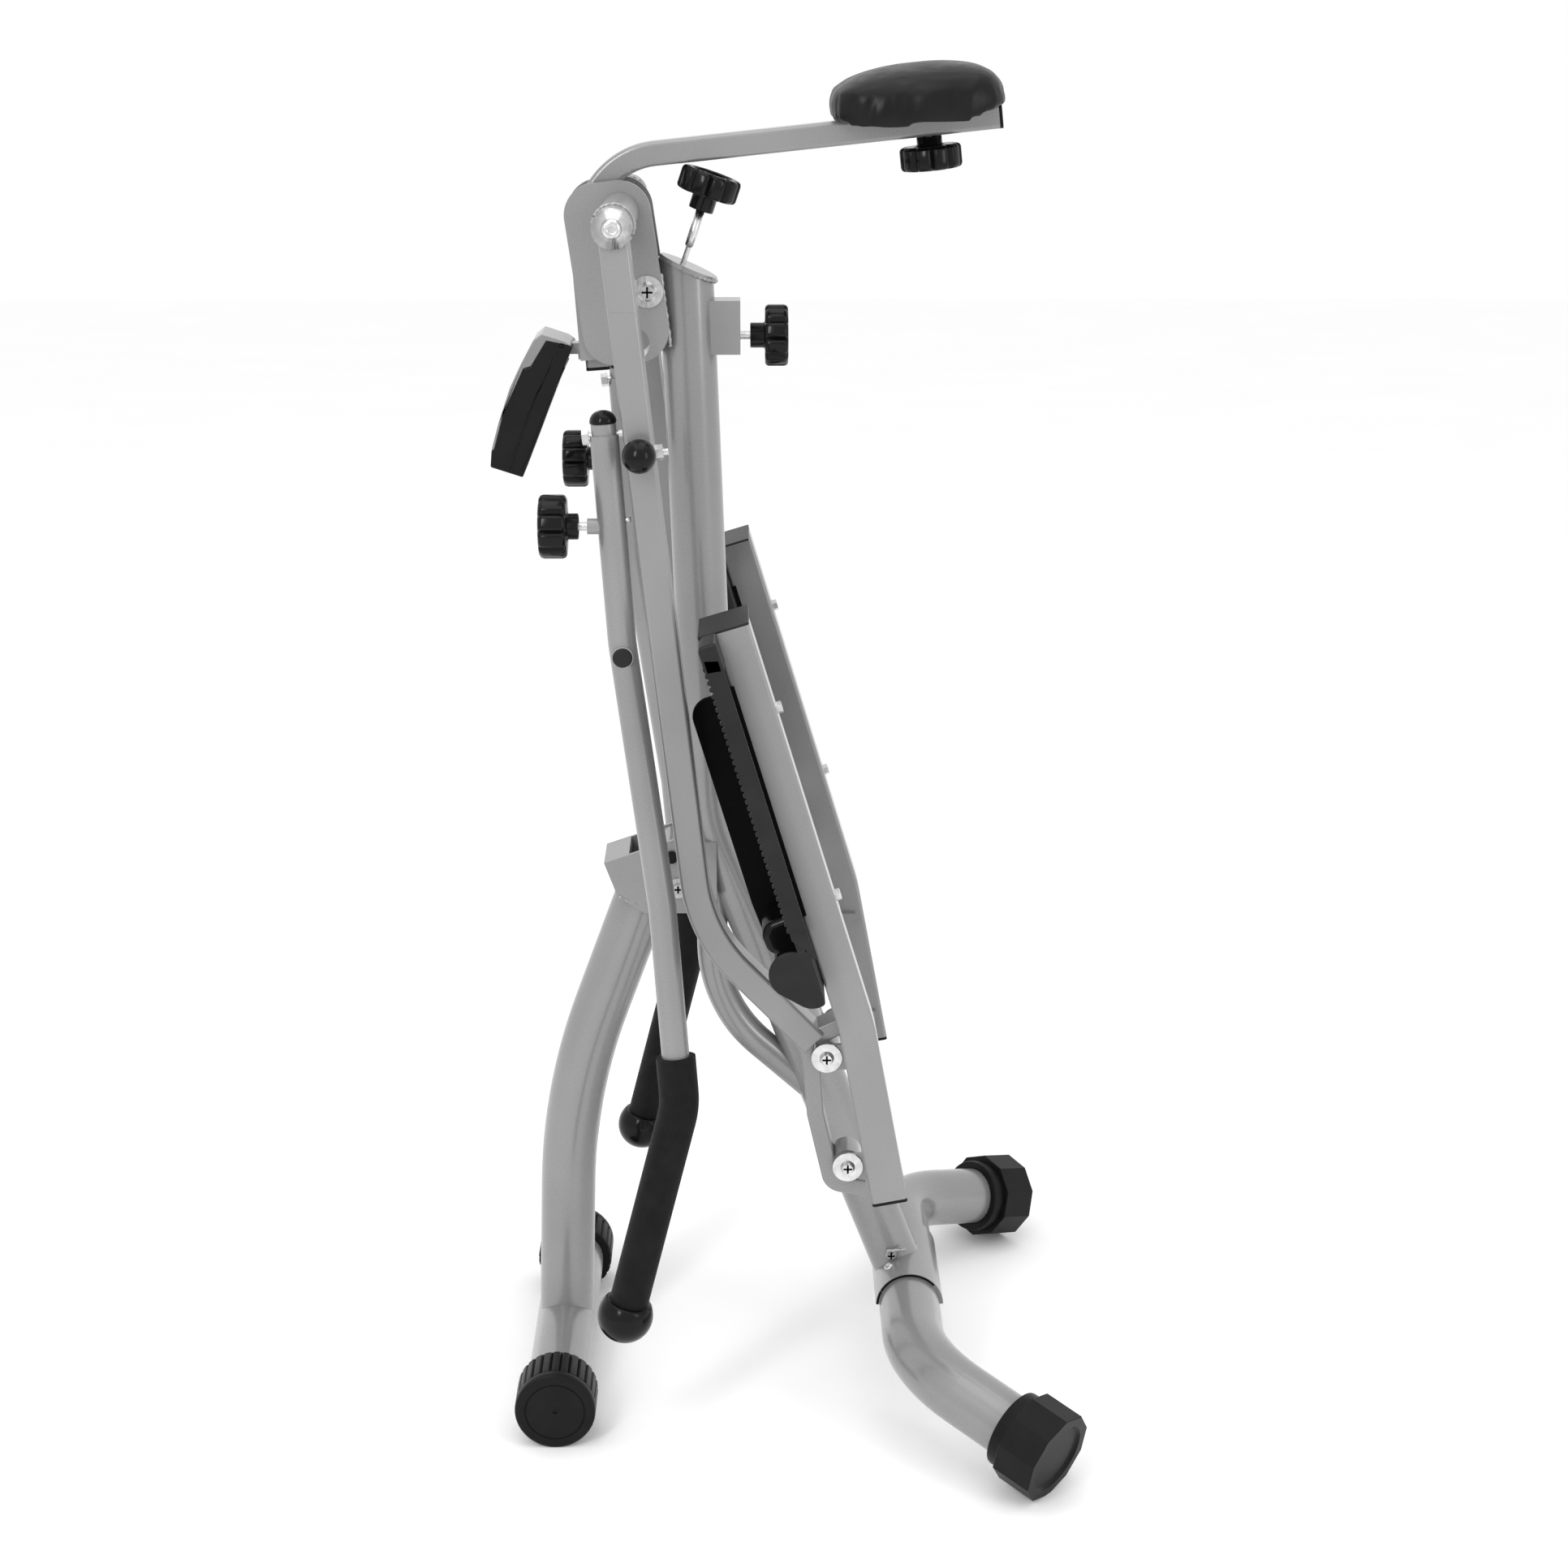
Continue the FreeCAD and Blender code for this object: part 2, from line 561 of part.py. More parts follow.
def build_knob_box():
    half = size("box_width") / 2
    start = Vec(size("box_right") - size("box_length"), -half, size("box_z"))
    block = box("box_block", FreeCAD.Placement(start, FreeCAD.Rotation()), "Sizes.box_length",
                "Sizes.box_width", "Sizes.box_height")
    post = shape("box_post", post_rod)
    hole = cylinder("box_hole", Vec(-90, 0, size("side_knob_z")), Vec(1, 0, 0),
                    "Sizes.knob_stud + Sizes.run_gap", "80")
    room = box("box_room", FreeCAD.Placement(Vec(-60, -half + 3, size("box_z") + 3),
               FreeCAD.Rotation()), "14", "Sizes.box_width - 6", "Sizes.box_height - 6")
    node(cut("knob_box", block, [post, hole, room]), "knob_box")


def build_leg_hinge():
    half = size("leg_radius") - 0.5
    hinge = Vec(size("hinge_x"), -half, size("hinge_z"))
    lock = Vec(size("lock_x"), -half, size("lock_z"))
    width = "2 * Sizes.leg_radius - 1"
    low = cylinder("lug_low", hinge, ALONG_Y, "Sizes.lug_radius", width)
    high = cylinder("lug_high", lock, ALONG_Y, "Sizes.lug_radius", width)
    corner = Vec(hinge.x, -half, hinge.z - size("lug_radius"))
    block = box("lug_block", FreeCAD.Placement(corner, FreeCAD.Rotation()), "56", width, "58")
    strip = box("lug_strip", FreeCAD.Placement(Vec(lock.x - 14, -half, hinge.z), FreeCAD.Rotation()),
                "40", width, "31")
    solid = fuse("lug_solid", [low, high, block, strip])
    post = shape("lug_post", post_rod)
    brace = shape("lug_brace", brace_rod)
    pin = cylinder("lug_pin", hinge - ALONG_Y * 20, ALONG_Y, "Sizes.bolt_radius", "100")
    right = box("lug_trim", FreeCAD.Placement(Vec(-66, -40, 480), FreeCAD.Rotation()),
                "60", "80", "100")
    node(cut("lug", solid, [post, brace, pin, right]), "leg_hinge_lug")
    face = size("leg_radius") + size("cheek_thick") + size("gap")
    bolt = cross_bolt("hinge_bolt_near", hinge.x, hinge.z, -face, 0, "10")
    nut = cross_bolt("hinge_bolt_far", hinge.x, hinge.z, face, 0, "10")
    node(fuse("hinge_bolt", [bolt, nut]), "leg_hinge_bolt")


def build_console_bracket():
    pivot = Vec(size("console_pivot_x"), 0, size("console_pivot_z"))
    half = size("tongue_half")
    tongue = box("tongue_block", FreeCAD.Placement(pivot + Vec(0, -half, -5), FreeCAD.Rotation()),
                 "24", "2 * Sizes.tongue_half", "10")
    eye = cylinder("tongue_eye", pivot - ALONG_Y * half, ALONG_Y, "5", "2 * Sizes.tongue_half")
    wall = size("pad_tube") / 2 + size("guide_wall")
    frame = guide_frame()
    flange = local_box("tongue_flange", frame, Vec(-wall - 2.5, -14, 0), "2.5", "28", "15")
    pin = cylinder("tongue_pin", pivot - ALONG_Y * 16, ALONG_Y, "Sizes.console_pin", "32")
    guide = local_box("tongue_guide", frame, Vec(-wall, -30, -20), "40", "60", "80")
    node(cut("tongue", fuse("tongue_blank", [tongue, eye, flange, pin]), [guide]),
         "console_bracket")


# ---------------------------------------------------------------- front leg

def build_front_leg():
    points = route("leg_route")
    rod = round_rod(points, size("leg_radius"), size("leg_bend"))
    tube = round_tube(points, size("leg_radius"), size("leg_wall"), size("leg_bend"))
    raw = shape("leg_raw", tube)
    half = size("stabiliser_half")
    seat = cylinder("leg_seat", Vec(points[2].x, -half, points[2].z), ALONG_Y,
                    "Sizes.stabiliser_radius", "2 * Sizes.stabiliser_half")
    node(cut("leg", raw, [seat]), "front_leg")
    inner = size("leg_radius")
    cheeks = []
    for word, side in SIDES:
        far_y = inner + size("cheek_thick") if side == RIGHT else -inner
        cheeks.append(plate(f"{word}_cheek", "cheek_outline", "Sizes.cheek_thick", far_y))
    web = plate("channel_web", "web_outline", "2 * Sizes.leg_radius", inner)
    channel = fuse("channel_blank", cheeks + [web])
    tools = [shape("channel_leg", rod)]
    for name, x, z, radius in (("hinge", "hinge_x", "hinge_z", "Sizes.bolt_radius"),
                               ("lock", "lock_x", "lock_z", "Sizes.lock_radius")):
        extra = " + Sizes.run_gap" if name == "hinge" else ""
        tools.append(cylinder(f"channel_{name}_hole", Vec(size(x), -60, size(z)), ALONG_Y,
                              f"{radius}{extra}", "120"))
    node(cut("channel", channel, tools), "leg_channel")
    plugs = []
    for word, side in SIDES:
        start = Vec(size("lock_x"), side * inner, size("lock_z"))
        plugs.append(cylinder(f"{word}_lock_plug", start, Vec(0, side, 0), "Sizes.lock_radius",
                              "Sizes.cheek_thick + 3"))
    node(group("lock_plugs", plugs), "leg_plugs")
    start = Vec(points[2].x, -half, points[2].z)
    outer = cylinder("stabiliser_outer", start, ALONG_Y, "Sizes.stabiliser_radius",
                     "2 * Sizes.stabiliser_half")
    bore = cylinder("stabiliser_bore", start, ALONG_Y,
                    "Sizes.stabiliser_radius - Sizes.stabiliser_wall",
                    "2 * Sizes.stabiliser_half")
    node(cut("stabiliser", outer, [bore]), "front_stabiliser")
    caps = []
    for word, side in SIDES:
        axis = Vec(0, side, 0)
        end = half + size("front_cap_end")
        base = Vec(points[2].x, side * (end - size("front_cap_length")), points[2].z)
        drum = cylinder(f"{word}_front_drum", base, axis, "Sizes.front_cap_radius",
                        "Sizes.front_cap_length")
        tools = [cylinder(f"{word}_front_bore", base, axis, "Sizes.stabiliser_radius",
                          "Sizes.front_cap_length - Sizes.front_cap_end")]
        count = int(size("rib_count"))
        for rib in range(count):
            angle = 2 * math.pi * (rib + 0.5) / count
            rim = size("front_cap_radius")
            spot = base + Vec(rim * math.cos(angle), 0, rim * math.sin(angle))
            tools.append(cylinder(f"{word}_rib{rib}", spot - axis, axis, "Sizes.rib_radius",
                                  "Sizes.front_cap_length * 0.78"))
        below = FreeCAD.Placement(Vec(base.x - 60, -250, size("front_cap_flat") - 30),
                                  FreeCAD.Rotation())
        tools.append(box(f"{word}_front_floor", below, "120", "500", "30"))
        caps.append(cut(f"{word}_front_cap", drum, tools))
    pair = group("front_cap_pair", caps)
    node(pair, "front_caps")


# -------------------------------------------------------------- pad and arm

def build_pad_arm():
    points = route("pad_route")
    tube = square_tube(points, size("pad_tube"), size("pad_tube"), size("pad_tube_corner"),
                       size("pad_tube_wall"), size("pad_tube_bend"))
    raw = shape("pad_arm_raw", tube)
    frame = pad_frame(size("pad_x"))
    start = size("pad_stud_offset") - size("slot_length") / 2
    clear = size("knob_stud") + size("gap")
    slot = local_box("pad_slot", frame, Vec(start, -clear, -40), "Sizes.slot_length",
                     "2 * (Sizes.knob_stud + Sizes.gap)", "80")
    node(cut("pad_arm", raw, [slot]), "pad_arm")
    plugs = []
    for word, spot, axis in (("tip", PAD_END, PAD_OUT), ("foot", PAD_BOTTOM, PAD_UP * -1)):
        path = Part.Wire([Part.LineSegment(spot, spot + axis * size("plug_thick")).toShape()])
        width = size("pad_tube")
        plugs.append(shape(f"pad_{word}_plug", swept(path, square_section(
            path, width, width, size("pad_tube_corner")))))
    node(group("pad_plugs", plugs), "pad_arm_plugs")


def build_pad():
    frame = pad_frame(size("pad_x"))
    lift = size("gap")
    board = local_box("board_block", frame,
                      Vec(-size("board_length") / 2, -size("board_width") / 2, lift),
                      "Sizes.board_length", "Sizes.board_width", "Sizes.board_thick")
    offset = size("pad_stud_offset")
    nut = cylinder("board_hole", frame.multVec(Vec(offset, 0, -10)), PAD_NORMAL,
                   "Sizes.knob_stud + Sizes.run_gap", "Sizes.board_thick + 20")
    node(cut("board", board, [nut]), "pad_board")
    cushion = local_box("cushion_block", frame,
                        Vec(-size("pad_length") / 2, -size("pad_width") / 2, -size("pad_drop")),
                        "Sizes.pad_length", "Sizes.pad_width", "Sizes.pad_height")
    rounded = doc.addObject("Part::Fillet", "cushion_rounded")
    rounded.Base = cushion
    doc.recompute()
    edges = []
    for index, edge in enumerate(cushion.Shape.Edges, 1):
        direction = edge.tangentAt(edge.FirstParameter)
        if abs(direction.dot(PAD_NORMAL)) > 0.99:
            edges.append((index, size("pad_corner"), size("pad_corner")))
        elif (edge.CenterOfMass - cushion.Shape.CenterOfMass).dot(PAD_NORMAL) > 0:
            edges.append((index, size("pad_corner") * 0.7, size("pad_corner") * 0.7))
    rounded.Edges = edges
    seat = local_box("cushion_seat", frame,
                     Vec(-size("board_length") / 2, -size("board_width") / 2, -20),
                     "Sizes.board_length", "Sizes.board_width",
                     "20 + Sizes.gap + Sizes.board_thick")
    clear = size("pad_tube") / 2 + 2
    channel = local_box("cushion_channel", frame, Vec(-120, -clear, -20), "240",
                        f"{2 * clear}", "20 + Sizes.gap")
    stud = cylinder("cushion_stud", frame.multVec(Vec(offset, 0, 0)), PAD_NORMAL,
                    "Sizes.knob_stud + 2", "16")
    node(cut("cushion", rounded, [seat, channel, stud]), "seat_pad")
    below = frame.multVec(Vec(offset, 0, -size("pad_tube") - size("gap")))
    reach = size("pad_tube") + 2 * size("gap") + size("board_thick") + 2
    knob = star_knob("pad_clamp", below, PAD_NORMAL * -1, reach, "pad_hub_depth")
    node(knob, "pad_knob")


def build_console():
    half = size("console_half")
    pivot = Vec(size("console_pivot_x"), 0, size("console_pivot_z"))
    clear = size("tongue_half") + size("gap")
    for word in ("back", "front"):
        shell = plate(f"console_{word}_blank", f"console_{word}", "2 * Sizes.console_half", half)
        notch = box(f"console_{word}_notch", FreeCAD.Placement(
            pivot + Vec(-9, -clear, -13), FreeCAD.Rotation()), "40",
            "2 * (Sizes.tongue_half + Sizes.gap)", "26")
        eye = cylinder(f"console_{word}_eye", pivot - ALONG_Y * 16, ALONG_Y,
                       "Sizes.console_pin + Sizes.run_gap", "32")
        node(cut(f"console_{word}_shell", shell, [notch, eye]), f"console_{word}_shell")


def build_loose_knobs():
    long_hub = KNOB_FOOT + KNOB_AXIS * 52
    thin = bound("Part::Cylinder", "post_thin_stem", place(KNOB_FOOT - KNOB_AXIS * 8, KNOB_AXIS),
                 Radius="2.6", Height="30")
    thick = bound("Part::Cylinder", "post_stem", place(KNOB_FOOT + KNOB_AXIS * 18, KNOB_AXIS),
                  Radius="Sizes.knob_stud", Height="35.5")
    head = star_knob("post_star", long_hub, KNOB_AXIS, 1.0)
    node(fuse("post_knob_shape", [thin, thick, head]), "post_knob")
    face = Vec(size("box_right") + 9, 0, size("side_knob_z"))
    node(star_knob("side_star", face, Vec(1, 0, 0), 26.0), "side_knob")


# --------------------------------------------------------------- swing arms

def yoke_hole(name, x, z):
    return cylinder(name, Vec(size(x), -260, size(z)), ALONG_Y, "Sizes.bolt_radius", "520")


def stub_axis_point(z):
    """Centre of the handle's straight top at height z, in the XZ plane."""
    top = Vec(size("handle_route_x1"), 0, size("handle_route_z1"))
    bend = Vec(size("handle_route_x2"), 0, size("handle_route_z2"))
    share = (z - top.z) / (bend.z - top.z)
    return top + (bend - top) * share


STUB_DOWN = (stub_axis_point(800) - stub_axis_point(900)).normalize()
ARM_TOP, ARM_BEND = route("arm_route")[:2]
ARM_DOWN = (ARM_BEND - ARM_TOP).normalize()
LONG_BOLT_AXIS = Vec(-ARM_DOWN.z, 0, ARM_DOWN.x)


def arm_centre(z):
    top, bend = route("arm_route")[:2]
    share = (z - top.z) / (bend.z - top.z)
    return top + (bend - top) * share


def link_bolt_tool(name, y):
    """Hole for the bolt that ties the handle stub to the arm."""
    middle = stub_axis_point(size("link_bolt_z")) + ALONG_Y * y
    return bound("Part::Cylinder", name, place(middle - LONG_BOLT_AXIS * 20, LONG_BOLT_AXIS),
                 Radius="Sizes.link_bolt_radius", Height="42")


def build_arm(word, side):
    y = side * size("arm_y")
    points = route("arm_route", y)
    tube = square_tube(points, size("arm_width"), size("arm_depth"), size("arm_corner"),
                       size("arm_wall"), size("arm_bend"))
    raw = shape(f"{word}_arm_raw", tube)
    inner = size("hub_inner_y")
    outer = size("arm_y") + size("arm_depth") / 2 - size("gap")
    hub = bound("Part::Cylinder", f"{word}_hub",
                place(Vec(size("shaft_x"), side * inner, size("shaft_z")), Vec(0, side, 0)),
                Radius="Sizes.hub_radius", Height=f"{outer - inner}")
    blank = fuse(f"{word}_arm_blank", [raw, hub])
    bore = cylinder(f"{word}_hub_bore", Vec(size("shaft_x"), -200, size("shaft_z")), ALONG_Y,
                    "Sizes.shaft_radius + Sizes.run_gap", "400")
    yoke_points = route("yoke_route", side * (size("yoke_inner_y") + size("yoke_outer_y")) / 2)
    yoke_depth = size("yoke_outer_y") - size("yoke_inner_y")
    band = square_rod(yoke_points, size("yoke_width"), yoke_depth, 2.0, size("yoke_bend"))
    seat = shape(f"{word}_arm_yoke_seat", band)
    ball = arm_centre(size("ball_z"))
    ball_hole = bound("Part::Cylinder", f"{word}_ball_hole",
                      place(Vec(ball.x, y, ball.z), Vec(0, side, 0)),
                      Radius="Sizes.knob_stud + Sizes.run_gap", Height="40")
    trim = box(f"{word}_arm_face", FreeCAD.Placement(
        Vec(-200, outer if side == RIGHT else -outer - 40, 1080), FreeCAD.Rotation()),
        "120", "40", "120")
    boss_seat = cylinder(f"{word}_arm_boss_seat", Vec(size("lock_bolt_x"), -200,
                         size("lock_bolt_z")), ALONG_Y, "Sizes.boss_radius", "400")
    node(cut(f"{word}_arm", blank, [bore, seat, boss_seat, ball_hole, trim,
                                    link_bolt_tool(f"{word}_arm_bolt_hole", y)]),
         f"{word}_swing_arm")

    bosses = []
    for name in ("lock", "fold"):
        start = Vec(size(f"{name}_bolt_x"), side * size("yoke_inner_y"), size(f"{name}_bolt_z"))
        bosses.append(cylinder(f"{word}_{name}_boss", start, Vec(0, side, 0),
                               "Sizes.boss_radius", "Sizes.yoke_outer_y - Sizes.yoke_inner_y"))
    yoke = fuse(f"{word}_yoke_blank", [shape(f"{word}_band", band)] + bosses)
    holes = [yoke_hole(f"{word}_lock_hole", "lock_bolt_x", "lock_bolt_z"),
             yoke_hole(f"{word}_fold_hole", "fold_bolt_x", "fold_bolt_z")]
    node(cut(f"{word}_yoke", yoke, holes), f"{word}_yoke")

    face = side * (size("rail_y") - size("rail_depth") / 2 + size("gap"))
    bolts = []
    for name in ("lock", "fold"):
        bolts.append(cross_bolt(f"{word}_{name}_bolt", size(f"{name}_bolt_x"),
                                size(f"{name}_bolt_z"), face, side * size("yoke_inner_y"),
                                "Sizes.boss_radius"))
    left_end = stub_axis_point(size("link_bolt_z")) + ALONG_Y * y - LONG_BOLT_AXIS * 13.5
    shank = bound("Part::Cylinder", f"{word}_link_shank", place(left_end, LONG_BOLT_AXIS),
                  Radius="Sizes.link_bolt_radius", Height="34")
    head = bound("Part::Prism", f"{word}_link_head",
                 place(left_end - LONG_BOLT_AXIS * 6, LONG_BOLT_AXIS),
                 Circumradius="Sizes.bolt_head", Height="6")
    bolts.append(fuse(f"{word}_link_bolt", [shank, head]))
    face = arm_centre(size("arm_nut_z")) + ALONG_Y * y + LONG_BOLT_AXIS * (size("arm_width") / 2)
    nut = bound("Part::Prism", f"{word}_arm_nut", place(face, LONG_BOLT_AXIS),
                Circumradius="Sizes.arm_nut_radius", Height="6.5")
    tip = bound("Part::Cylinder", f"{word}_arm_nut_tip",
                place(face + LONG_BOLT_AXIS * 6, LONG_BOLT_AXIS),
                Radius="Sizes.link_bolt_radius", Height="5")
    bolts.append(fuse(f"{word}_nut_pair", [nut, tip]))
    node(group(f"{word}_bolts", bolts), f"{word}_arm_bolts")


def build_stub(word, side):
    y = side * size("handle_route_y1")
    top = stub_axis_point(size("stub_top_z")) + ALONG_Y * y
    bottom = top + STUB_DOWN * size("stub_length")
    tube = round_tube([bottom, top], size("stub_radius"), size("stub_wall"), 1)
    raw = shape(f"{word}_stub_raw", tube)
    hole = link_bolt_tool(f"{word}_stub_hole", side * size("arm_y"))
    node(cut(f"{word}_stub", raw, [hole]), f"{word}_handle_stub")
    dome = bound("Part::Ellipsoid", f"{word}_stub_dome", place(top, STUB_DOWN * -1),
                 Radius1="Sizes.stub_dome", Radius2="Sizes.stub_radius + 0.6")
    dome.Angle1 = 0
    node(dome, f"{word}_stub_cap")


def build_ball_pin(word, side):
    ball = arm_centre(size("ball_z"))
    face = size("arm_y") + size("arm_depth") / 2
    axis = Vec(0, side, 0)
    stem = bound("Part::Cylinder", f"{word}_ball_stem",
                 place(Vec(ball.x, side * (face - 12), ball.z), axis),
                 Radius="Sizes.knob_stud", Height="12 + Sizes.ball_stem")
    sphere = bound("Part::Sphere", f"{word}_ball", FreeCAD.Placement(
        Vec(ball.x, side * (face + size("ball_stem")), ball.z), FreeCAD.Rotation()),
        Radius="Sizes.ball_radius")
    node(fuse(f"{word}_ball_shape", [stem, sphere]), f"{word}_ball_pin")


# -------------------------------------------------------------- pedal rails

RAIL_TOP, RAIL_CORNER, RAIL_END = route("rail_route")
RAIL_UP = (RAIL_TOP - RAIL_CORNER).normalize()
RAIL_FRONT = Vec(-RAIL_UP.z, 0, RAIL_UP.x)


def rail_frame(side):
    """Local Z down the rail from its top end, local X out of its foot side."""
    down = RAIL_UP * -1
    turn = FreeCAD.Rotation(FreeCAD.Matrix(
        RAIL_FRONT.x, 0, down.x, 0,
        0, 1, 0, 0,
        RAIL_FRONT.z, 0, down.z, 0,
        0, 0, 0, 1))
    return FreeCAD.Placement(Vec(RAIL_TOP.x, side * size("rail_y"), RAIL_TOP.z), turn)


def build_rail(word, side):
    y = side * size("rail_y")
    points = route("rail_route", y)
    tube = square_tube(points, size("rail_width"), size("rail_depth"), size("rail_corner"),
                       size("rail_wall"), size("rail_bend"))
    raw = shape(f"{word}_rail_raw", tube)
    face = size("rail_y") - size("rail_depth") / 2
    near = size("yoke_outer_y") + size("gap")
    thick = face - near
    low_y = near if side == RIGHT else -face
    ears = []
    for name, reach in (("lock", 40), ("fold", 42)):
        corner = Vec(size(f"{name}_bolt_x"), low_y, size(f"{name}_bolt_z") - size("ear_half"))
        ears.append(box(f"{word}_{name}_ear", FreeCAD.Placement(corner, FreeCAD.Rotation()),
                        f"{reach}", f"{thick}", "2 * Sizes.ear_half"))
    eye = bound("Part::Cylinder", f"{word}_fold_eye",
                place(Vec(size("fold_bolt_x"), low_y, size("fold_bolt_z")), ALONG_Y),
                Radius="Sizes.ear_half", Height=f"{thick}")
    blank = fuse(f"{word}_rail_blank", [raw, eye] + ears)
    pivot = cylinder(f"{word}_rail_pivot", Vec(size("fold_bolt_x"), -260, size("fold_bolt_z")),
                     ALONG_Y, "Sizes.bolt_radius + Sizes.run_gap", "520")
    notch = cylinder(f"{word}_rail_notch", Vec(size("lock_bolt_x"), -260, size("lock_bolt_z")),
                     ALONG_Y, "Sizes.bolt_radius + Sizes.gap", "520")
    node(cut(f"{word}_rail", blank, [pivot, notch]), f"{word}_pedal_rail")
    end = points[2]
    down = (points[2] - points[1]).normalize()
    path = Part.Wire([Part.LineSegment(end, end + down * size("plug_thick")).toShape()])
    plug = shape(f"{word}_plug_shape", swept(path, square_section(
        path, size("rail_width"), size("rail_depth"), size("rail_corner"))))
    node(plug, f"{word}_rail_plug")


def build_footplate(word, side):
    frame = rail_frame(side)
    front = size("rail_width") / 2
    half = size("plate_half")
    width = "2 * Sizes.plate_half"
    beam = size("rail_depth") / 2
    thin = size("cover_thick")
    tray = local_box(f"{word}_tray", frame, Vec(front, -half, 0), "Sizes.tray_thick", width,
                     "Sizes.tray_length")
    lip = local_box(f"{word}_lip", frame, Vec(front, -half, -thin), "Sizes.lip_height", width,
                    "Sizes.lip_length")
    cover_y = -half if side == RIGHT else -beam
    cover = local_box(f"{word}_cover", frame, Vec(-front, cover_y, -thin), "Sizes.rail_width + 4",
                      "Sizes.plate_half + Sizes.rail_depth / 2", "Sizes.cover_thick")
    pieces = [tray, lip, cover]
    for number, y in enumerate((-beam - size("flange_thick"), beam)):
        spot = Vec(front - size("flange_reach"), y, size("flange_start"))
        pieces.append(local_box(f"{word}_flange{number}", frame, spot, "Sizes.flange_reach + 2",
                                "Sizes.flange_thick", "Sizes.flange_length"))
    inner_y = -half if side == RIGHT else half - size("wall_thick")
    start = size("wall_start")
    corner = size("wall_corner")
    pieces.append(local_box(f"{word}_wall_tall", frame, Vec(front, inner_y, start + corner),
                            "Sizes.wall_height", "Sizes.wall_thick",
                            "Sizes.wall_length - Sizes.wall_corner"))
    pieces.append(local_box(f"{word}_wall_low", frame, Vec(front, inner_y, start),
                            "Sizes.wall_height - Sizes.wall_corner", "Sizes.wall_thick",
                            "Sizes.wall_length"))
    across = frame.Rotation.multVec(ALONG_Y)
    turn_at = Vec(front + size("wall_height") - corner, inner_y, start + corner)
    pieces.append(cylinder(f"{word}_wall_bend", frame.multVec(turn_at), across,
                           "Sizes.wall_corner", "Sizes.wall_thick"))
    drums = []
    hollow = []
    for name in ("cup", "heel"):
        centre = Vec(front + size(f"{name}_out"), -half, size(f"{name}_down"))
        drums.append(cylinder(f"{word}_{name}_drum", frame.multVec(centre), across,
                              f"Sizes.{name}_radius", width))
        inset = centre + ALONG_Y * size("cup_wall")
        hollow.append(cylinder(f"{word}_{name}_hollow", frame.multVec(inset), across,
                               f"Sizes.{name}_radius - Sizes.cup_wall",
                               f"{width} - 2 * Sizes.cup_wall"))
    behind = local_box(f"{word}_cup_trim", frame, Vec(front - 60, -half - 5, 200), "60",
                       f"{width} + 10", "200")
    mouth = local_box(f"{word}_cup_mouth", frame,
                      Vec(front + size("tray_thick"), -half + size("cup_wall"), 240),
                      "60", f"{width} - 2 * Sizes.cup_wall", "82")
    cup = cut(f"{word}_cup_shell", fuse(f"{word}_cup_blank", drums), [behind, mouth] + hollow)
    node(fuse(f"{word}_plate_shape", pieces + [cup]), f"{word}_footplate")
    back = -front
    nuts = []
    for number, distance in enumerate((82.5, 264.5)):
        spot = frame.multVec(Vec(back, 0, distance))
        nut = bound("Part::Prism", f"{word}_plate_nut{number}", place(spot, RAIL_FRONT * -1),
                    Circumradius="Sizes.nut_radius", Height="Sizes.nut_height")
        nuts.append(nut)
    node(group(f"{word}_nuts", nuts), f"{word}_plate_nuts")


# --------------------------------------------------------------- handlebars

def handle_points(side):
    points = []
    for i in range(1, len(HANDLE_XZ) + 1):
        points.append(Vec(size(f"handle_route_x{i}"), side * size(f"handle_route_y{i}"),
                          size(f"handle_route_z{i}")))
    return points


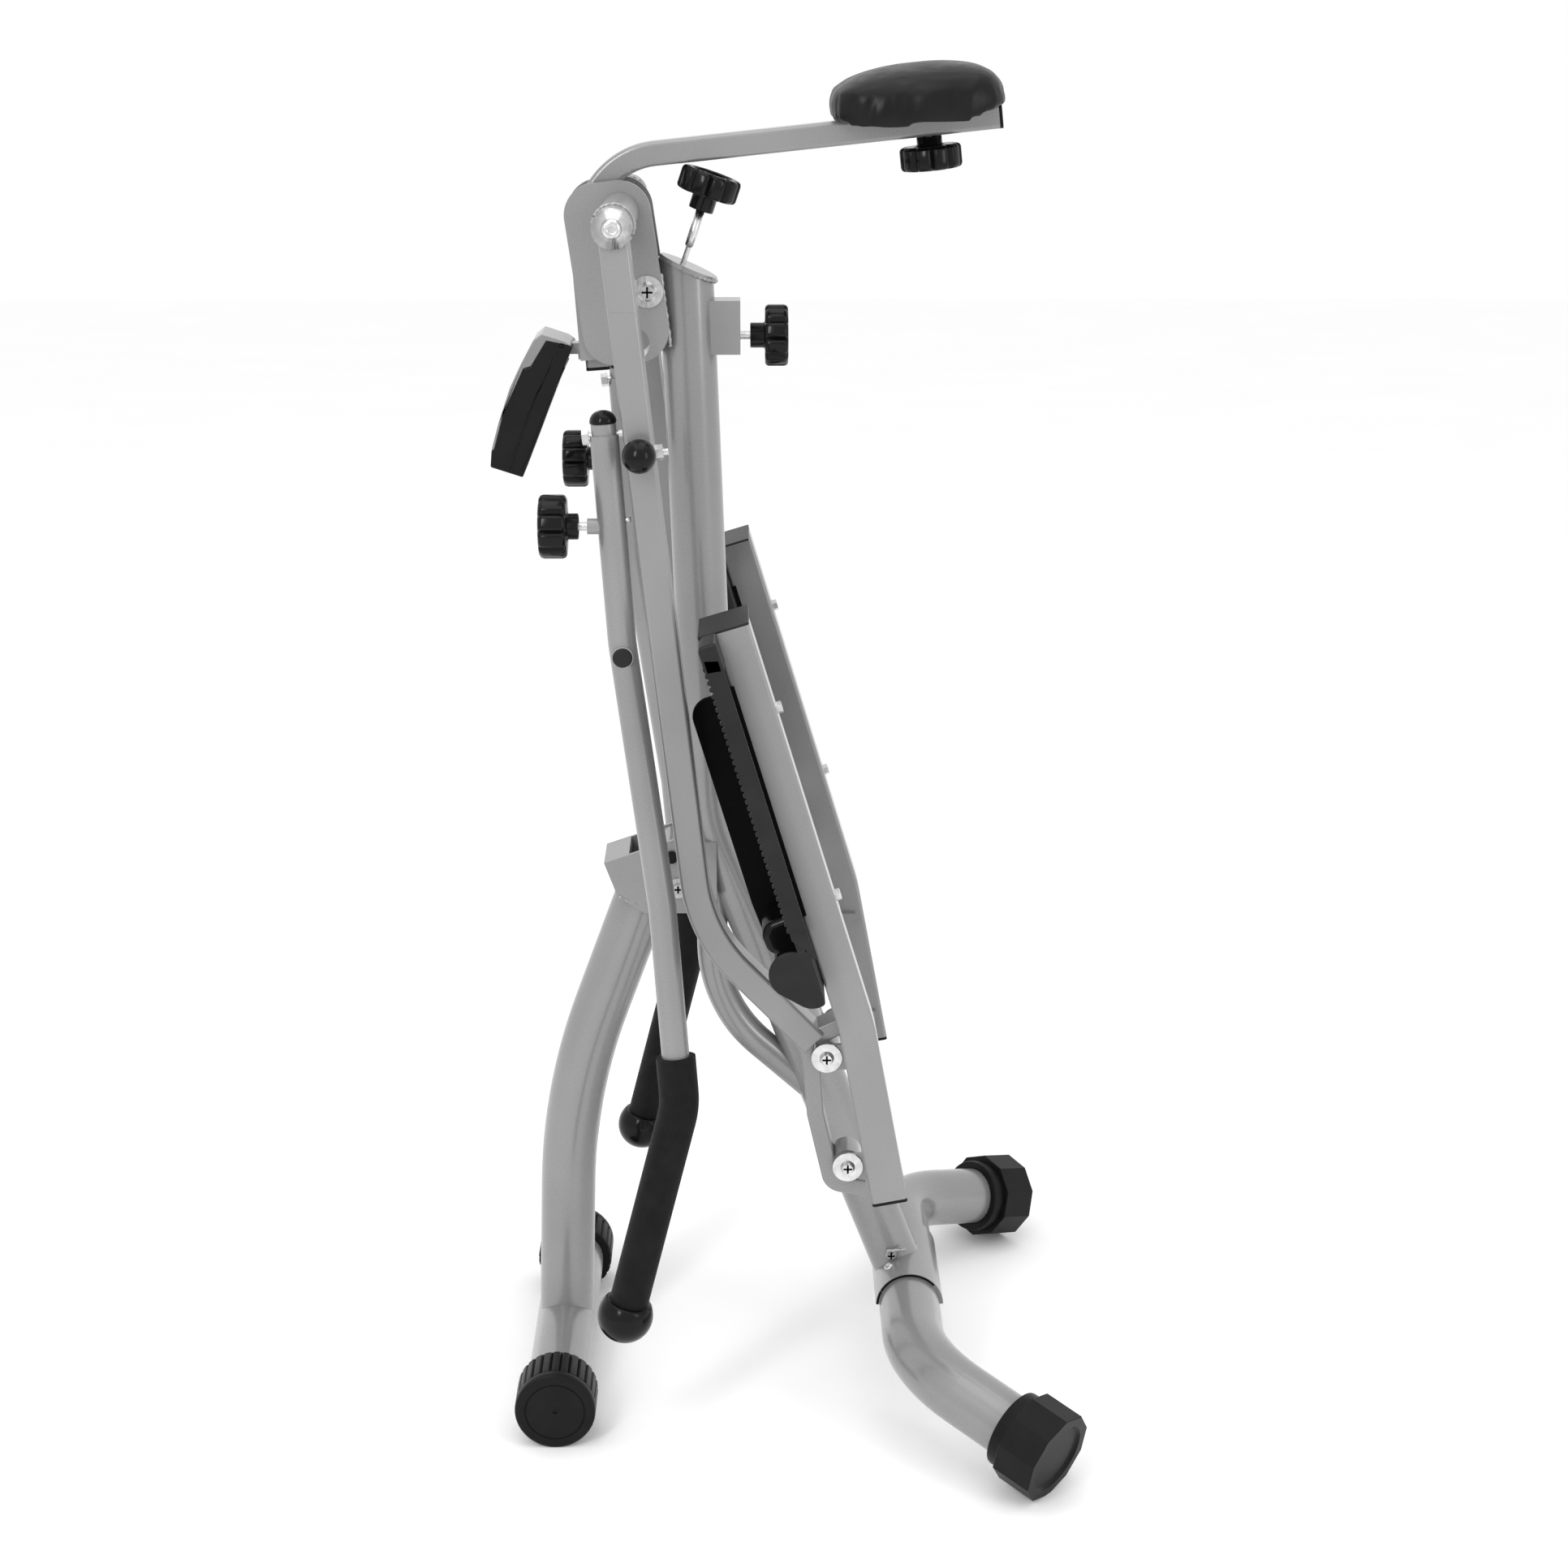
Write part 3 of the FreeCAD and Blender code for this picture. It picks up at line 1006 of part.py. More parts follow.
def build_handle(word, side):
    points = handle_points(side)
    outer = size("handle_radius")
    radius = size("grip_bend")
    path = smooth_path(points, radius)
    rod = swept(path, round_section(path, outer))
    bore = swept(path, round_section(path, outer - size("handle_wall")))
    raw = shape(f"{word}_handle_raw", rod.cut(bore))
    knob_z = size("handle_knob_z")
    centre = stub_axis_point(knob_z) + ALONG_Y * points[0].y
    outward = Vec(-1, 0, 0)
    boss = bound("Part::Cylinder", f"{word}_knob_boss",
                 place(centre + outward * (outer - 2), outward), Radius="7", Height="11")
    screw_clear = bound("Part::Cylinder", f"{word}_knob_clear", place(centre, outward),
                        Radius="Sizes.knob_stud + Sizes.run_gap", Height="40")
    blank = fuse(f"{word}_handle_blank", [raw, boss])
    inside = shape(f"{word}_handle_inside", bore)
    notch_at = stub_axis_point(size("link_bolt_z")) + ALONG_Y * (side * size("arm_y"))
    notch_frame = FreeCAD.Placement(notch_at, FreeCAD.Rotation(
        ALONG_Y, -math.degrees(math.atan2(LONG_BOLT_AXIS.z, LONG_BOLT_AXIS.x))))
    notch_half = size("link_bolt_radius") + size("gap")
    notch = local_box(f"{word}_handle_notch", notch_frame, Vec(-20, -notch_half, -notch_half),
                      "40", f"{2 * notch_half}", "30")
    node(cut(f"{word}_handle", blank, [screw_clear, inside, notch]), f"{word}_handle_tube")
    face = centre + outward * (outer + 16.8)
    stud = face.x * -1 + centre.x - size("stub_radius") - size("gap")
    node(star_knob(f"{word}_handle_star", face, outward, stud, "handle_hub_depth",
                   "handle_knob_depth"), f"{word}_handle_knob")
    above, corner, end = points[2:]
    share = (size("grip_top_z") - above.z) / (corner.z - above.z)
    grip_top = above + (corner - above) * share
    grip_path = smooth_path([grip_top, corner, end], radius)
    sleeve = swept(grip_path, round_section(grip_path, size("grip_radius")))
    core = swept(grip_path, round_section(grip_path, outer))
    node(shape(f"{word}_grip_shape", sleeve.cut(core)), f"{word}_grip")
    down = (end - corner).normalize()
    centre = end + down * (size("mushroom_radius") * 0.55)
    ball = bound("Part::Sphere", f"{word}_cap_ball", FreeCAD.Placement(centre, FreeCAD.Rotation()),
                 Radius="Sizes.mushroom_radius")
    trim = bound("Part::Cylinder", f"{word}_cap_trim", place(end, down * -1), Radius="60",
                 Height="60")
    node(cut(f"{word}_cap_shape", ball, [trim]), f"{word}_grip_cap")


build_post()
build_brace()
build_foot()
build_saddle()
build_top_bracket()
build_guide()
build_knob_box()
build_leg_hinge()
build_console_bracket()
build_front_leg()
build_pad_arm()
build_pad()
build_console()
build_loose_knobs()
for word, side in SIDES:
    build_arm(word, side)
    build_stub(word, side)
    build_ball_pin(word, side)
    build_rail(word, side)
    build_footplate(word, side)
    build_handle(word, side)

doc.recompute()
for thing in doc.Objects:
    bad = [state for state in thing.State if state in ("Invalid", "Error")]
    if bad:
        raise RuntimeError(f"{thing.Label}: {bad}")
os.makedirs("parts", exist_ok=True)
middle = Vec(-size("middle_x"), 0, 0)
for thing in NODES:
    thing.Placement = FreeCAD.Placement(middle, FreeCAD.Rotation()).multiply(thing.Placement)
doc.recompute()
for thing in NODES:
    if thing.Shape.isNull() or not thing.Shape.isValid():
        raise RuntimeError(f"{thing.Label}: bad shape")
    thing.Shape.exportStep(f"parts/{thing.Label}.step")
    box_ = thing.Shape.BoundBox
    print(f"{thing.Label:22s} solids {len(thing.Shape.Solids)} volume {thing.Shape.Volume:10.0f}"
          f"  x {box_.XMin:7.1f} {box_.XMax:7.1f}  y {box_.YMin:7.1f} {box_.YMax:7.1f}"
          f"  z {box_.ZMin:7.1f} {box_.ZMax:7.1f}")
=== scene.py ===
import json
import math
import bmesh
import bpy
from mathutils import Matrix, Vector, noise


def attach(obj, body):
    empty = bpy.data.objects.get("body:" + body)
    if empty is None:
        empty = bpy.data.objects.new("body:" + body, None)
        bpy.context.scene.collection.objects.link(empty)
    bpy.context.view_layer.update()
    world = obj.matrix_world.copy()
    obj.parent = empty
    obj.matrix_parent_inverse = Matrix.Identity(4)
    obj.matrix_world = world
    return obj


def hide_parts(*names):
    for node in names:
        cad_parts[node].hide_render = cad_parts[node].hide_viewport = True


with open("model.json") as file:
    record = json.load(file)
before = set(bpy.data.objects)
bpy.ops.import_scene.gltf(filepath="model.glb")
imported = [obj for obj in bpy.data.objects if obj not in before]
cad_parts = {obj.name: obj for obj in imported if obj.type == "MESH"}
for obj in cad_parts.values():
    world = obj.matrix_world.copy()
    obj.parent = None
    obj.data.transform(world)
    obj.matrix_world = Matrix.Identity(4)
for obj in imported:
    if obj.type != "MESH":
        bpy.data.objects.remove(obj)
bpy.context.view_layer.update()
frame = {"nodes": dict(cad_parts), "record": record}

NODES = frame["nodes"]
ORIGIN_SHIFT = 3.4      # mm between the hinge datum used here and the machine's middle
SIDES = (("left", -1), ("right", 1))


def V(x, y, z):
    """A point given in millimetres from the hinge datum."""
    return Vector(((x - ORIGIN_SHIFT) / 1000, y / 1000, z / 1000))


# ---------------------------------------------------------------- materials

class Paint:
    """Builds one procedural material step by step."""

    def __init__(self, name):
        self.mat = bpy.data.materials.new(name)
        self.mat.use_nodes = True
        self.tree = self.mat.node_tree
        self.shader = self.tree.nodes["Principled BSDF"]
        self.place = self.add("ShaderNodeTexCoord").outputs["Object"]

    def add(self, kind, **values):
        made = self.tree.nodes.new(kind)
        for key, value in values.items():
            setattr(made, key, value)
        return made

    def link(self, source, target):
        self.tree.links.new(source, target)

    def grain(self, scale, detail=3.0, stretch=None, rough=0.5):
        """Noise with about `scale` cells per metre."""
        made = self.add("ShaderNodeTexNoise")
        made.inputs["Scale"].default_value = scale
        made.inputs["Detail"].default_value = detail
        made.inputs["Roughness"].default_value = rough
        source = self.place
        if stretch:
            mapping = self.add("ShaderNodeMapping")
            mapping.inputs["Scale"].default_value = stretch
            self.link(self.place, mapping.inputs["Vector"])
            source = mapping.outputs["Vector"]
        self.link(source, made.inputs["Vector"])
        return made.outputs["Fac"]

    def span(self, source, low, high, start=0.3, end=0.7):
        made = self.add("ShaderNodeMapRange")
        made.inputs["From Min"].default_value = start
        made.inputs["From Max"].default_value = end
        made.inputs["To Min"].default_value = low
        made.inputs["To Max"].default_value = high
        self.link(source, made.inputs["Value"])
        return made.outputs["Result"]

    def colour(self, source, dark, light):
        made = self.add("ShaderNodeMix", data_type="RGBA")
        made.inputs["A"].default_value = (*dark, 1)
        made.inputs["B"].default_value = (*light, 1)
        self.link(source, made.inputs["Factor"])
        self.link(made.outputs["Result"], self.shader.inputs["Base Color"])

    def rough(self, source, low, high):
        self.link(self.span(source, low, high), self.shader.inputs["Roughness"])

    def bump(self, source, depth_mm, strength=1.0):
        made = self.add("ShaderNodeBump")
        made.inputs["Strength"].default_value = strength
        made.inputs["Distance"].default_value = depth_mm / 1000
        self.link(source, made.inputs["Height"])
        if self.shader.inputs["Normal"].is_linked:
            self.link(self.shader.inputs["Normal"].links[0].from_socket, made.inputs["Normal"])
        self.link(made.outputs["Normal"], self.shader.inputs["Normal"])

    def set(self, **values):
        for key, value in values.items():
            self.shader.inputs[key.replace("_", " ")].default_value = value


def grey(value):
    return (value, value, value)


def silver_paint(name, low, high):
    p = Paint(name)
    p.colour(p.span(p.grain(9, 2), 0, 1), grey(low), grey(high))
    fleck = p.grain(2600, 1)
    p.rough(fleck, 0.24, 0.36)
    p.set(Metallic=0.30, Coat_Weight=0.45, Coat_Roughness=0.10)
    p.bump(p.grain(420, 2), 0.05, 0.28)
    p.bump(fleck, 0.012, 0.35)
    return p.mat


def zinc():
    p = Paint("zinc_plate")
    scratch = p.grain(900, 2, (1, 1, 0.08))
    p.colour(p.span(p.grain(160), 0, 1), grey(0.52), grey(0.68))
    p.rough(scratch, 0.20, 0.36)
    p.set(Metallic=1.0)
    p.bump(scratch, 0.02, 0.4)
    return p.mat


def black_plastic(name, low, high, shine, depth, gloss):
    """shine is the range of roughness, depth the grain's height in mm."""
    p = Paint(name)
    p.colour(p.span(p.grain(40), 0, 1), grey(low), grey(high))
    moulding = p.grain(1500, 2)
    p.rough(moulding, *shine)
    p.bump(moulding, depth, 0.6)
    p.set(Specular_IOR_Level=gloss)
    return p.mat


def foam():
    p = Paint("grip_foam")
    p.colour(p.span(p.grain(60), 0, 1), grey(0.004), grey(0.008))
    cells = p.add("ShaderNodeTexVoronoi")
    cells.inputs["Scale"].default_value = 1400
    p.link(p.place, cells.inputs["Vector"])
    p.rough(p.grain(500), 0.50, 0.64)
    p.bump(cells.outputs["Distance"], 0.12, 0.6)
    p.set(Specular_IOR_Level=0.12)
    return p.mat


def vinyl():
    p = Paint("black_vinyl")
    p.colour(p.span(p.grain(18), 0, 1), grey(0.004), grey(0.009))
    cells = p.add("ShaderNodeTexVoronoi", feature="SMOOTH_F1")
    cells.inputs["Scale"].default_value = 800
    p.link(p.place, cells.inputs["Vector"])
    p.rough(p.grain(70), 0.30, 0.42)
    p.bump(p.grain(55, 2), 0.5, 0.25)
    p.bump(cells.outputs["Distance"], 0.10, 0.35)
    p.set(Specular_IOR_Level=0.16)
    return p.mat


def weld():
    p = Paint("weld_bead")
    p.colour(p.span(p.grain(300), 0, 1), grey(0.26), grey(0.36))
    p.rough(p.grain(500), 0.22, 0.42)
    p.set(Metallic=0.4, Coat_Weight=0.3)
    p.bump(p.grain(260, 3), 0.5, 0.7)
    return p.mat


SILVER = silver_paint("silver_powder_coat", 0.2209, 0.2491)
ZINC = zinc()
BLACK = black_plastic("black_nylon", 0.004, 0.007, (0.34, 0.46), 0.03, 0.14)
GLOSS = black_plastic("knob_plastic", 0.003, 0.005, (0.14, 0.22), 0.012, 0.18)
RUBBER = black_plastic("cap_rubber", 0.005, 0.008, (0.36, 0.46), 0.05, 0.13)
TREAD = black_plastic("pedal_plastic", 0.010, 0.015, (0.34, 0.46), 0.05, 0.20)
# shadow_plastic is painted shade: a near-black laid on screw slots, along the gaps by the rails and
# the sleeve, and on the footplate's inner wall.
DARK = black_plastic("shadow_plastic", 0.002, 0.003, (0.55, 0.70), 0.03, 0.06)
SHELL = black_plastic("shell_plastic", 0.003, 0.005, (0.22, 0.32), 0.015, 0.20)
FOAM = foam()
VINYL = vinyl()
SILVER_PLASTIC = silver_paint("silver_shell", 0.188, 0.2256)
WELD = weld()
SLOT_PAINT = {"frame_silver": SILVER, "zinc_steel": ZINC, "black_plastic": BLACK,
              "silver_plastic": SILVER_PLASTIC, "black_foam": FOAM, "black_vinyl": VINYL}
SLOT_OF = {s["node"]: s["material_slot"] for s in frame["record"]["subparts"]}
BODY_OF = {n: b for b, names in frame["record"]["behaviour"]["bodies"].items() for n in names}
BEVEL_MM = {"frame_silver": 0.8, "zinc_steel": 0.5, "black_plastic": 0.9,
            "silver_plastic": 1.2, "black_foam": 2.0, "black_vinyl": 3.0}
CAD_EDGE_ANGLE = 38


def soften(obj, width_mm, segments, angle):
    """Round the edges sharper than angle degrees."""
    bevel = obj.modifiers.new("edge", "BEVEL")
    bevel.width = width_mm / 1000
    bevel.segments = segments
    bevel.limit_method = "ANGLE"
    bevel.angle_limit = math.radians(angle)
    bevel.use_clamp_overlap = True
    bevel.harden_normals = True
    for face in obj.data.polygons:
        face.use_smooth = True


def paint_cad_node(node, obj):
    obj.data.materials.clear()
    obj.data.materials.append(SLOT_PAINT[SLOT_OF[node]])
    bevel = obj.modifiers.new("edge", "BEVEL")
    bevel.width = BEVEL_MM[SLOT_OF[node]] / 1000
    bevel.segments = 2
    bevel.limit_method = "ANGLE"
    bevel.angle_limit = math.radians(CAD_EDGE_ANGLE)
    bevel.harden_normals = False


for node, obj in NODES.items():
    paint_cad_node(node, obj)


# -------------------------------------------------------------- mesh making

def add_mesh(name, verts, faces, mat, body, smooth=True):
    """A new visual piece that rides on a body, with the given material."""
    data = bpy.data.meshes.new(name)
    data.from_pydata([tuple(v) for v in verts], [], faces)
    data.update()
    data.materials.append(mat)
    obj = bpy.data.objects.new(name, data)
    bpy.context.scene.collection.objects.link(obj)
    clean = bmesh.new()
    clean.from_mesh(data)
    bmesh.ops.recalc_face_normals(clean, faces=clean.faces)
    clean.to_mesh(data)
    clean.free()
    if smooth:
        for face in data.polygons:
            face.use_smooth = True
    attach(obj, body)
    return obj


def basis(axis):
    """Two directions square to axis."""
    axis = axis.normalized()
    helper = Vector((0, 0, 1)) if abs(axis.z) < 0.9 else Vector((1, 0, 0))
    across = axis.cross(helper).normalized()
    return axis, across, axis.cross(across)


def turned(name, origin, axis, profile, mat, body, segments=64, shape=None, zero=None):
    """A turned piece: profile is (radius, height) pairs in mm; shape(angle, r, h) may
    change the radius round the turn, and zero is the direction where the angle is 0."""
    axis, across, up = basis(axis)
    if zero:
        across = zero
        up = axis.cross(zero)
    verts = []
    rings = []
    for radius, height in profile:
        centre = origin + axis * (height / 1000)
        if radius < 1e-6:
            verts.append(centre)
            rings.append([len(verts) - 1] * segments)
            continue
        ring = []
        for step in range(segments):
            angle = 2 * math.pi * step / segments
            r = shape(angle, radius, height) if shape else radius
            verts.append(centre + (across * math.cos(angle) + up * math.sin(angle)) * (r / 1000))
            ring.append(len(verts) - 1)
        rings.append(ring)
    faces = []
    for lower, upper in zip(rings, rings[1:]):
        for step in range(segments):
            after = (step + 1) % segments
            corners = [lower[step], lower[after], upper[after], upper[step]]
            kept = []
            for corner in corners:
                if corner not in kept:
                    kept.append(corner)
            if len(kept) > 2:
                faces.append(kept)
    return add_mesh(name, verts, faces, mat, body)


def sharp_by_angle(obj, degrees):
    """Shade flat across every edge that turns by more than the given angle."""
    limit = math.radians(degrees)
    work = bmesh.new()
    work.from_mesh(obj.data)
    for edge in work.edges:
        if len(edge.link_faces) == 2 and edge.calc_face_angle(0) > limit:
            edge.smooth = False
    work.to_mesh(obj.data)
    work.free()


def prism_faces(count):
    """Two ends and the sides between them, for an outline given twice."""
    faces = [list(range(count)), list(range(2 * count - 1, count - 1, -1))]
    for index in range(count):
        after = (index + 1) % count
        faces.append([index, after, after + count, index + count])
    return faces


def extruded(name, outline, half, mat, body, round_mm):
    """A plate from (x, z) outline points, reaching half mm to each side of Y = 0."""
    verts = [V(x, -half, z) for x, z in outline] + [V(x, half, z) for x, z in outline]
    obj = add_mesh(name, verts, prism_faces(len(outline)), mat, body, smooth=False)
    soften(obj, round_mm, 4, 25)
    return obj


def strip_along(name, path, radius_mm, mat, body, wobble=0.0, closed=False, sides=8):
    """A round bead along a path of points, with a little swelling if it wobbles."""
    verts = []
    count = len(path)
    for index, point in enumerate(path):
        before = path[(index - 1) % count] if closed or index else path[0]
        after = path[(index + 1) % count] if closed or index < count - 1 else path[-1]
        axis, across, up = basis(after - before)
        swell = 1 + wobble * math.sin(index * 1.9) + wobble * 0.6 * math.sin(index * 0.83)
        for side in range(sides):
            angle = 2 * math.pi * side / sides
            offset = across * math.cos(angle) + up * math.sin(angle)
            verts.append(point + offset * (radius_mm * swell / 1000))
    faces = []
    spans = count if closed else count - 1
    for index in range(spans):
        following = (index + 1) % count
        for side in range(sides):
            turn = (side + 1) % sides
            faces.append([index * sides + side, index * sides + turn,
                          following * sides + turn, following * sides + side])
    if not closed:
        faces.append(list(range(sides)))
        faces.append(list(range((count - 1) * sides, count * sides)))
    return add_mesh(name, verts, faces, mat, body)


# ------------------------------------------------------------------ star knobs

def lobe_shape(angle, radius, height):
    """Ten soft flutes that fade out towards the middle of the knob."""
    if radius < 20:
        return radius
    groove = max(0.0, math.cos(10 * angle)) ** 3
    return radius - 3.4 * groove * min(1.0, (radius - 20) / 6)


KNOB_PROFILE = ((0.0, 1.0), (9.6, 1.0), (9.9, 0.0), (10.9, 0.0), (11.5, 0.8), (11.5, 12.0),
                (13.0, 13.4), (20.5, 13.4), (25.0, 13.6), (27.0, 14.6), (28.0, 16.6),
                (28.0, 31.0), (27.2, 33.4), (25.4, 34.6), (22.4, 35.0), (19.4, 34.7),
                (18.6, 33.6), (18.2, 31.8), (16.8, 31.2), (9.0, 31.6), (0.0, 32.0))
# In mm: where the head starts in that profile, its depth, and the studs' threads.
HEAD_START = 13.4
HEAD_DEPTH = 21.6
STUD_RADIUS = 4.0
STUD_PITCH = 1.25
THREAD_DEPTH = 0.55
FINE_PITCH = 1.0


def knob_profile(hub, depth):
    """The knob's profile with its hub and head stretched to the given lengths."""
    points = []
    for radius, height in KNOB_PROFILE:
        if height >= HEAD_START:
            share = (height - HEAD_START) / HEAD_DEPTH
            height = hub + 0.4 + share * (depth - 0.4)
        elif height > 1.5:
            height = hub - 1.0
        points.append((radius, height))
    return points


def star_knob(node, origin, axis, stud_mm, hub=13.0, depth=22.0):
    """A knob whose hub starts at origin, with a threaded stud behind it."""
    body = BODY_OF[node]
    knob = turned(node + "_head", origin, axis, knob_profile(hub, depth), GLOSS, body,
                  120, lobe_shape)
    sharp_by_angle(knob, 50)
    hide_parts(node)
    stud = [(0, -stud_mm), (STUD_RADIUS - 0.8, -stud_mm), (STUD_RADIUS, 1.0 - stud_mm)]
    for turn in range(int(stud_mm / STUD_PITCH)):
        base = 1.0 - stud_mm + turn * STUD_PITCH
        stud.append((STUD_RADIUS - THREAD_DEPTH, base + 0.62))
        stud.append((STUD_RADIUS, base + STUD_PITCH))
    stud += [(STUD_RADIUS - 0.6, 1.0), (0, 1.0)]
    turned(node + "_thread", origin, axis, stud, ZINC, body, 32)


# The long knob's stem leaves the post at KNOB_FOOT and leans along KNOB_AXIS.
KNOB_FOOT = V(-93.5, 0, 1101)
STEM_LENGTH = 0.052     # metres
KNOB_AXIS = Vector((24, 0, 70)).normalized()
star_knob("side_knob", V(-32, 0, 1037), Vector((1, 0, 0)), 26)


def post_knob():
    """A star knob on a long stem, thin and threaded where it enters the post."""
    base = KNOB_FOOT + KNOB_AXIS * STEM_LENGTH
    body = BODY_OF["post_knob"]
    head = turned("post_knob_head", base, KNOB_AXIS, KNOB_PROFILE, GLOSS, body,
                  120, lobe_shape)
    sharp_by_angle(head, 50)
    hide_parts("post_knob")
    stem = [(0, -59), (2.2, -59), (2.6, -58.4)]
    for turn in range(23):
        stem.append((2.2, -58 + (turn + 0.5) * FINE_PITCH))
        stem.append((2.6, -58 + (turn + 1) * FINE_PITCH))
    stem += [(2.6, -34.3), (3.4, -34.0), (4.0, -33.4), (4.0, 0.8), (0, 0.8)]
    turned("post_knob_stem", base, KNOB_AXIS, stem, ZINC, body, 32)


post_knob()

# The pad arm's level run: its bend, its direction and the way out of its top face.
PAD_BEND_X = -185
PAD_TUBE_HALF = 11
PAD_OUT = Vector((377.2, 0, 40)).normalized()
PAD_NORMAL = Vector((-PAD_OUT.z, 0, PAD_OUT.x))
PAD_CORNER = V(PAD_BEND_X, 0, 1193.6)


def pad_point(along_x, across, out):
    """A point near the pad: distance X along the arm, Y across, mm out of its top face."""
    reach = (along_x - PAD_BEND_X) / PAD_OUT.x
    point = PAD_CORNER + PAD_OUT * (reach / 1000) + PAD_NORMAL * ((PAD_TUBE_HALF + out) / 1000)
    return point + Vector((0, across / 1000, 0))


star_knob("pad_knob", pad_point(128.66, 0, -22.3), -PAD_NORMAL, 30, hub=7.5)

# The straight part of the stored handlebars, the same on both sides.
HANDLE_Y = 172
HANDLE_TOP = Vector((-159.0, 0, 974.0))
HANDLE_BEND = Vector((-146.3, 0, 788.0))


def stub_point(z, y):
    """The point at height z on the line of the handle's straight part."""
    share = (z - HANDLE_TOP.z) / (HANDLE_BEND.z - HANDLE_TOP.z)
    point = HANDLE_TOP + (HANDLE_BEND - HANDLE_TOP) * share
    return V(point.x, y, z)


for word, side in SIDES:
    face = stub_point(893, side * HANDLE_Y) + Vector((-0.0295, 0, 0))
    star_knob(f"{word}_handle_knob", face, Vector((-1, 0, 0)), 17.5, hub=9.5, depth=25.0)


# ------------------------------------------------------------- round fittings

def flatten_floor(obj):
    """Press the underside of a floor cap flat on the ground."""
    for vert in obj.data.vertices:
        vert.co.z = max(vert.co.z, 0.0)


CAP_RIBS = 26
RIB_DEPTH = 2.4


def rib_shape(angle, radius, height):
    """Broad ribs with narrow grooves, ending before the cap's smooth rim."""
    if radius < 35 or height > 39.5 or height < 0.5:
        return radius
    groove = max(0.0, math.cos(CAP_RIBS * angle)) ** 4
    return radius - RIB_DEPTH * groove


FRONT_CAP = ((30.1, 6), (30.1, 0.6), (31.0, 0.0), (37.0, 0.0), (38.2, 0.8), (38.7, 2.2),
             (38.7, 38.8), (38.7, 39.3), (38.4, 40.2), (38.7, 41.2), (38.7, 46.6),
             (38.0, 48.6), (36.4, 49.7), (34.0, 50.0), (29.2, 50.0), (28.7, 49.1),
             (27.9, 49.1), (27.4, 49.9), (14.0, 49.7), (2.2, 49.7), (1.6, 48.4), (0.0, 48.2))
REAR_CAP = ((30.2, 8), (30.2, 0.6), (31.0, 0.0), (36.6, 0.0), (37.6, 0.6), (38.0, 2.0),
            (38.0, 13.0), (44.4, 13.0), (45.0, 13.7), (45.0, 53.2), (44.3, 54.0), (34.0, 54.0),
            (33.2, 53.2), (31.6, 51.6), (30.6, 51.2), (15.0, 51.3), (0.0, 51.4))


def decagon_shape(angle, radius, height):
    """Ten flats beyond the round collar."""
    if radius < 40:
        return radius
    step = math.pi / 5
    inside = (angle % step) - step / 2
    return radius * math.cos(step / 2) / math.cos(inside)


FOOT_CORNER = Vector((123, 183, 85))
FOOT_END = Vector((248, 289, 41.5))
REAR_CAP_LENGTH = 54
STABILISER_END = Vector((-222, 140, 38))


def floor_caps():
    for word, side in SIDES:
        base = V(STABILISER_END.x, side * STABILISER_END.y, STABILISER_END.z)
        front = turned(f"{word}_front_cap", base, Vector((0, side, 0)), FRONT_CAP,
                       RUBBER, "front_leg_body", 260, rib_shape)
        sharp_by_angle(front, 28)
        flatten_floor(front)
        corner = Vector((FOOT_CORNER.x, side * FOOT_CORNER.y, FOOT_CORNER.z))
        end = Vector((FOOT_END.x, side * FOOT_END.y, FOOT_END.z))
        axis = (end - corner).normalized()
        start = end - axis * REAR_CAP_LENGTH
        turn = Vector((0, 0, 1)).rotation_difference(axis)
        rear = turned(f"{word}_rear_cap", V(*start), axis, REAR_CAP, RUBBER, "frame",
                      120, decagon_shape, zero=turn @ Vector((1, 0, 0)))
        sharp_by_angle(rear, 20)
        flatten_floor(rear)
        if side == 1:
            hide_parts("front_caps")
            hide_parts("rear_caps")


floor_caps()


def ball_profile(radius, from_angle, steps=20):
    """A sphere's profile, starting from_angle degrees away from its lower pole."""
    points = []
    for step in range(steps + 1):
        angle = math.radians(from_angle) + (math.pi - math.radians(from_angle)) * step / steps
        points.append((max(0.0, radius * math.sin(angle)), -radius * math.cos(angle)))
    return points


# The pivot shaft and the ball pins, in mm.
SHAFT_X = -149
SHAFT_Z = 1151
BALL_Z = 960
BALL_RADIUS = 15


def arm_x(z):
    """Where the swing arm's long straight run is at height z."""
    return SHAFT_X + 70 * (SHAFT_Z - z) / 632.5


def ball_pin(word, side, out):
    centre = V(arm_x(BALL_Z), side * 203, BALL_Z)
    stem = [(0, -30), (4, -30), (4, -17.4), (6.6, -17.2), (7.2, -16.6), (7.2, -13.2)]
    ball = turned(f"{word}_ball", centre, out, stem + ball_profile(BALL_RADIUS, 29), GLOSS,
                  f"{word}_ball_body", 72)
    sharp_by_angle(ball, 50)
    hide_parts(f"{word}_ball_pin")
    ferrule = ((5, 0), (8.4, 0), (8.4, 1.4), (7.6, 2.0), (5, 2.0))
    turned(f"{word}_ball_ferrule", V(arm_x(BALL_Z), side * 185, BALL_Z), out, ferrule, ZINC,
           f"{word}_arm_body", 40)


def stub_dome(word, side):
    up = -(HANDLE_BEND - HANDLE_TOP).normalized()
    dome = ((0, -6), (9.4, -6), (9.4, -0.2), (11.4, -0.1), (11.9, 0.6), (11.8, 2.4), (11.0, 5.2),
            (9.2, 7.8), (6.6, 9.7), (3.4, 10.8), (0, 11.1))
    lid = turned(f"{word}_stub_dome", stub_point(984, side * HANDLE_Y), up, dome, GLOSS,
                 f"{word}_arm_body", 56)
    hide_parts(f"{word}_stub_cap")


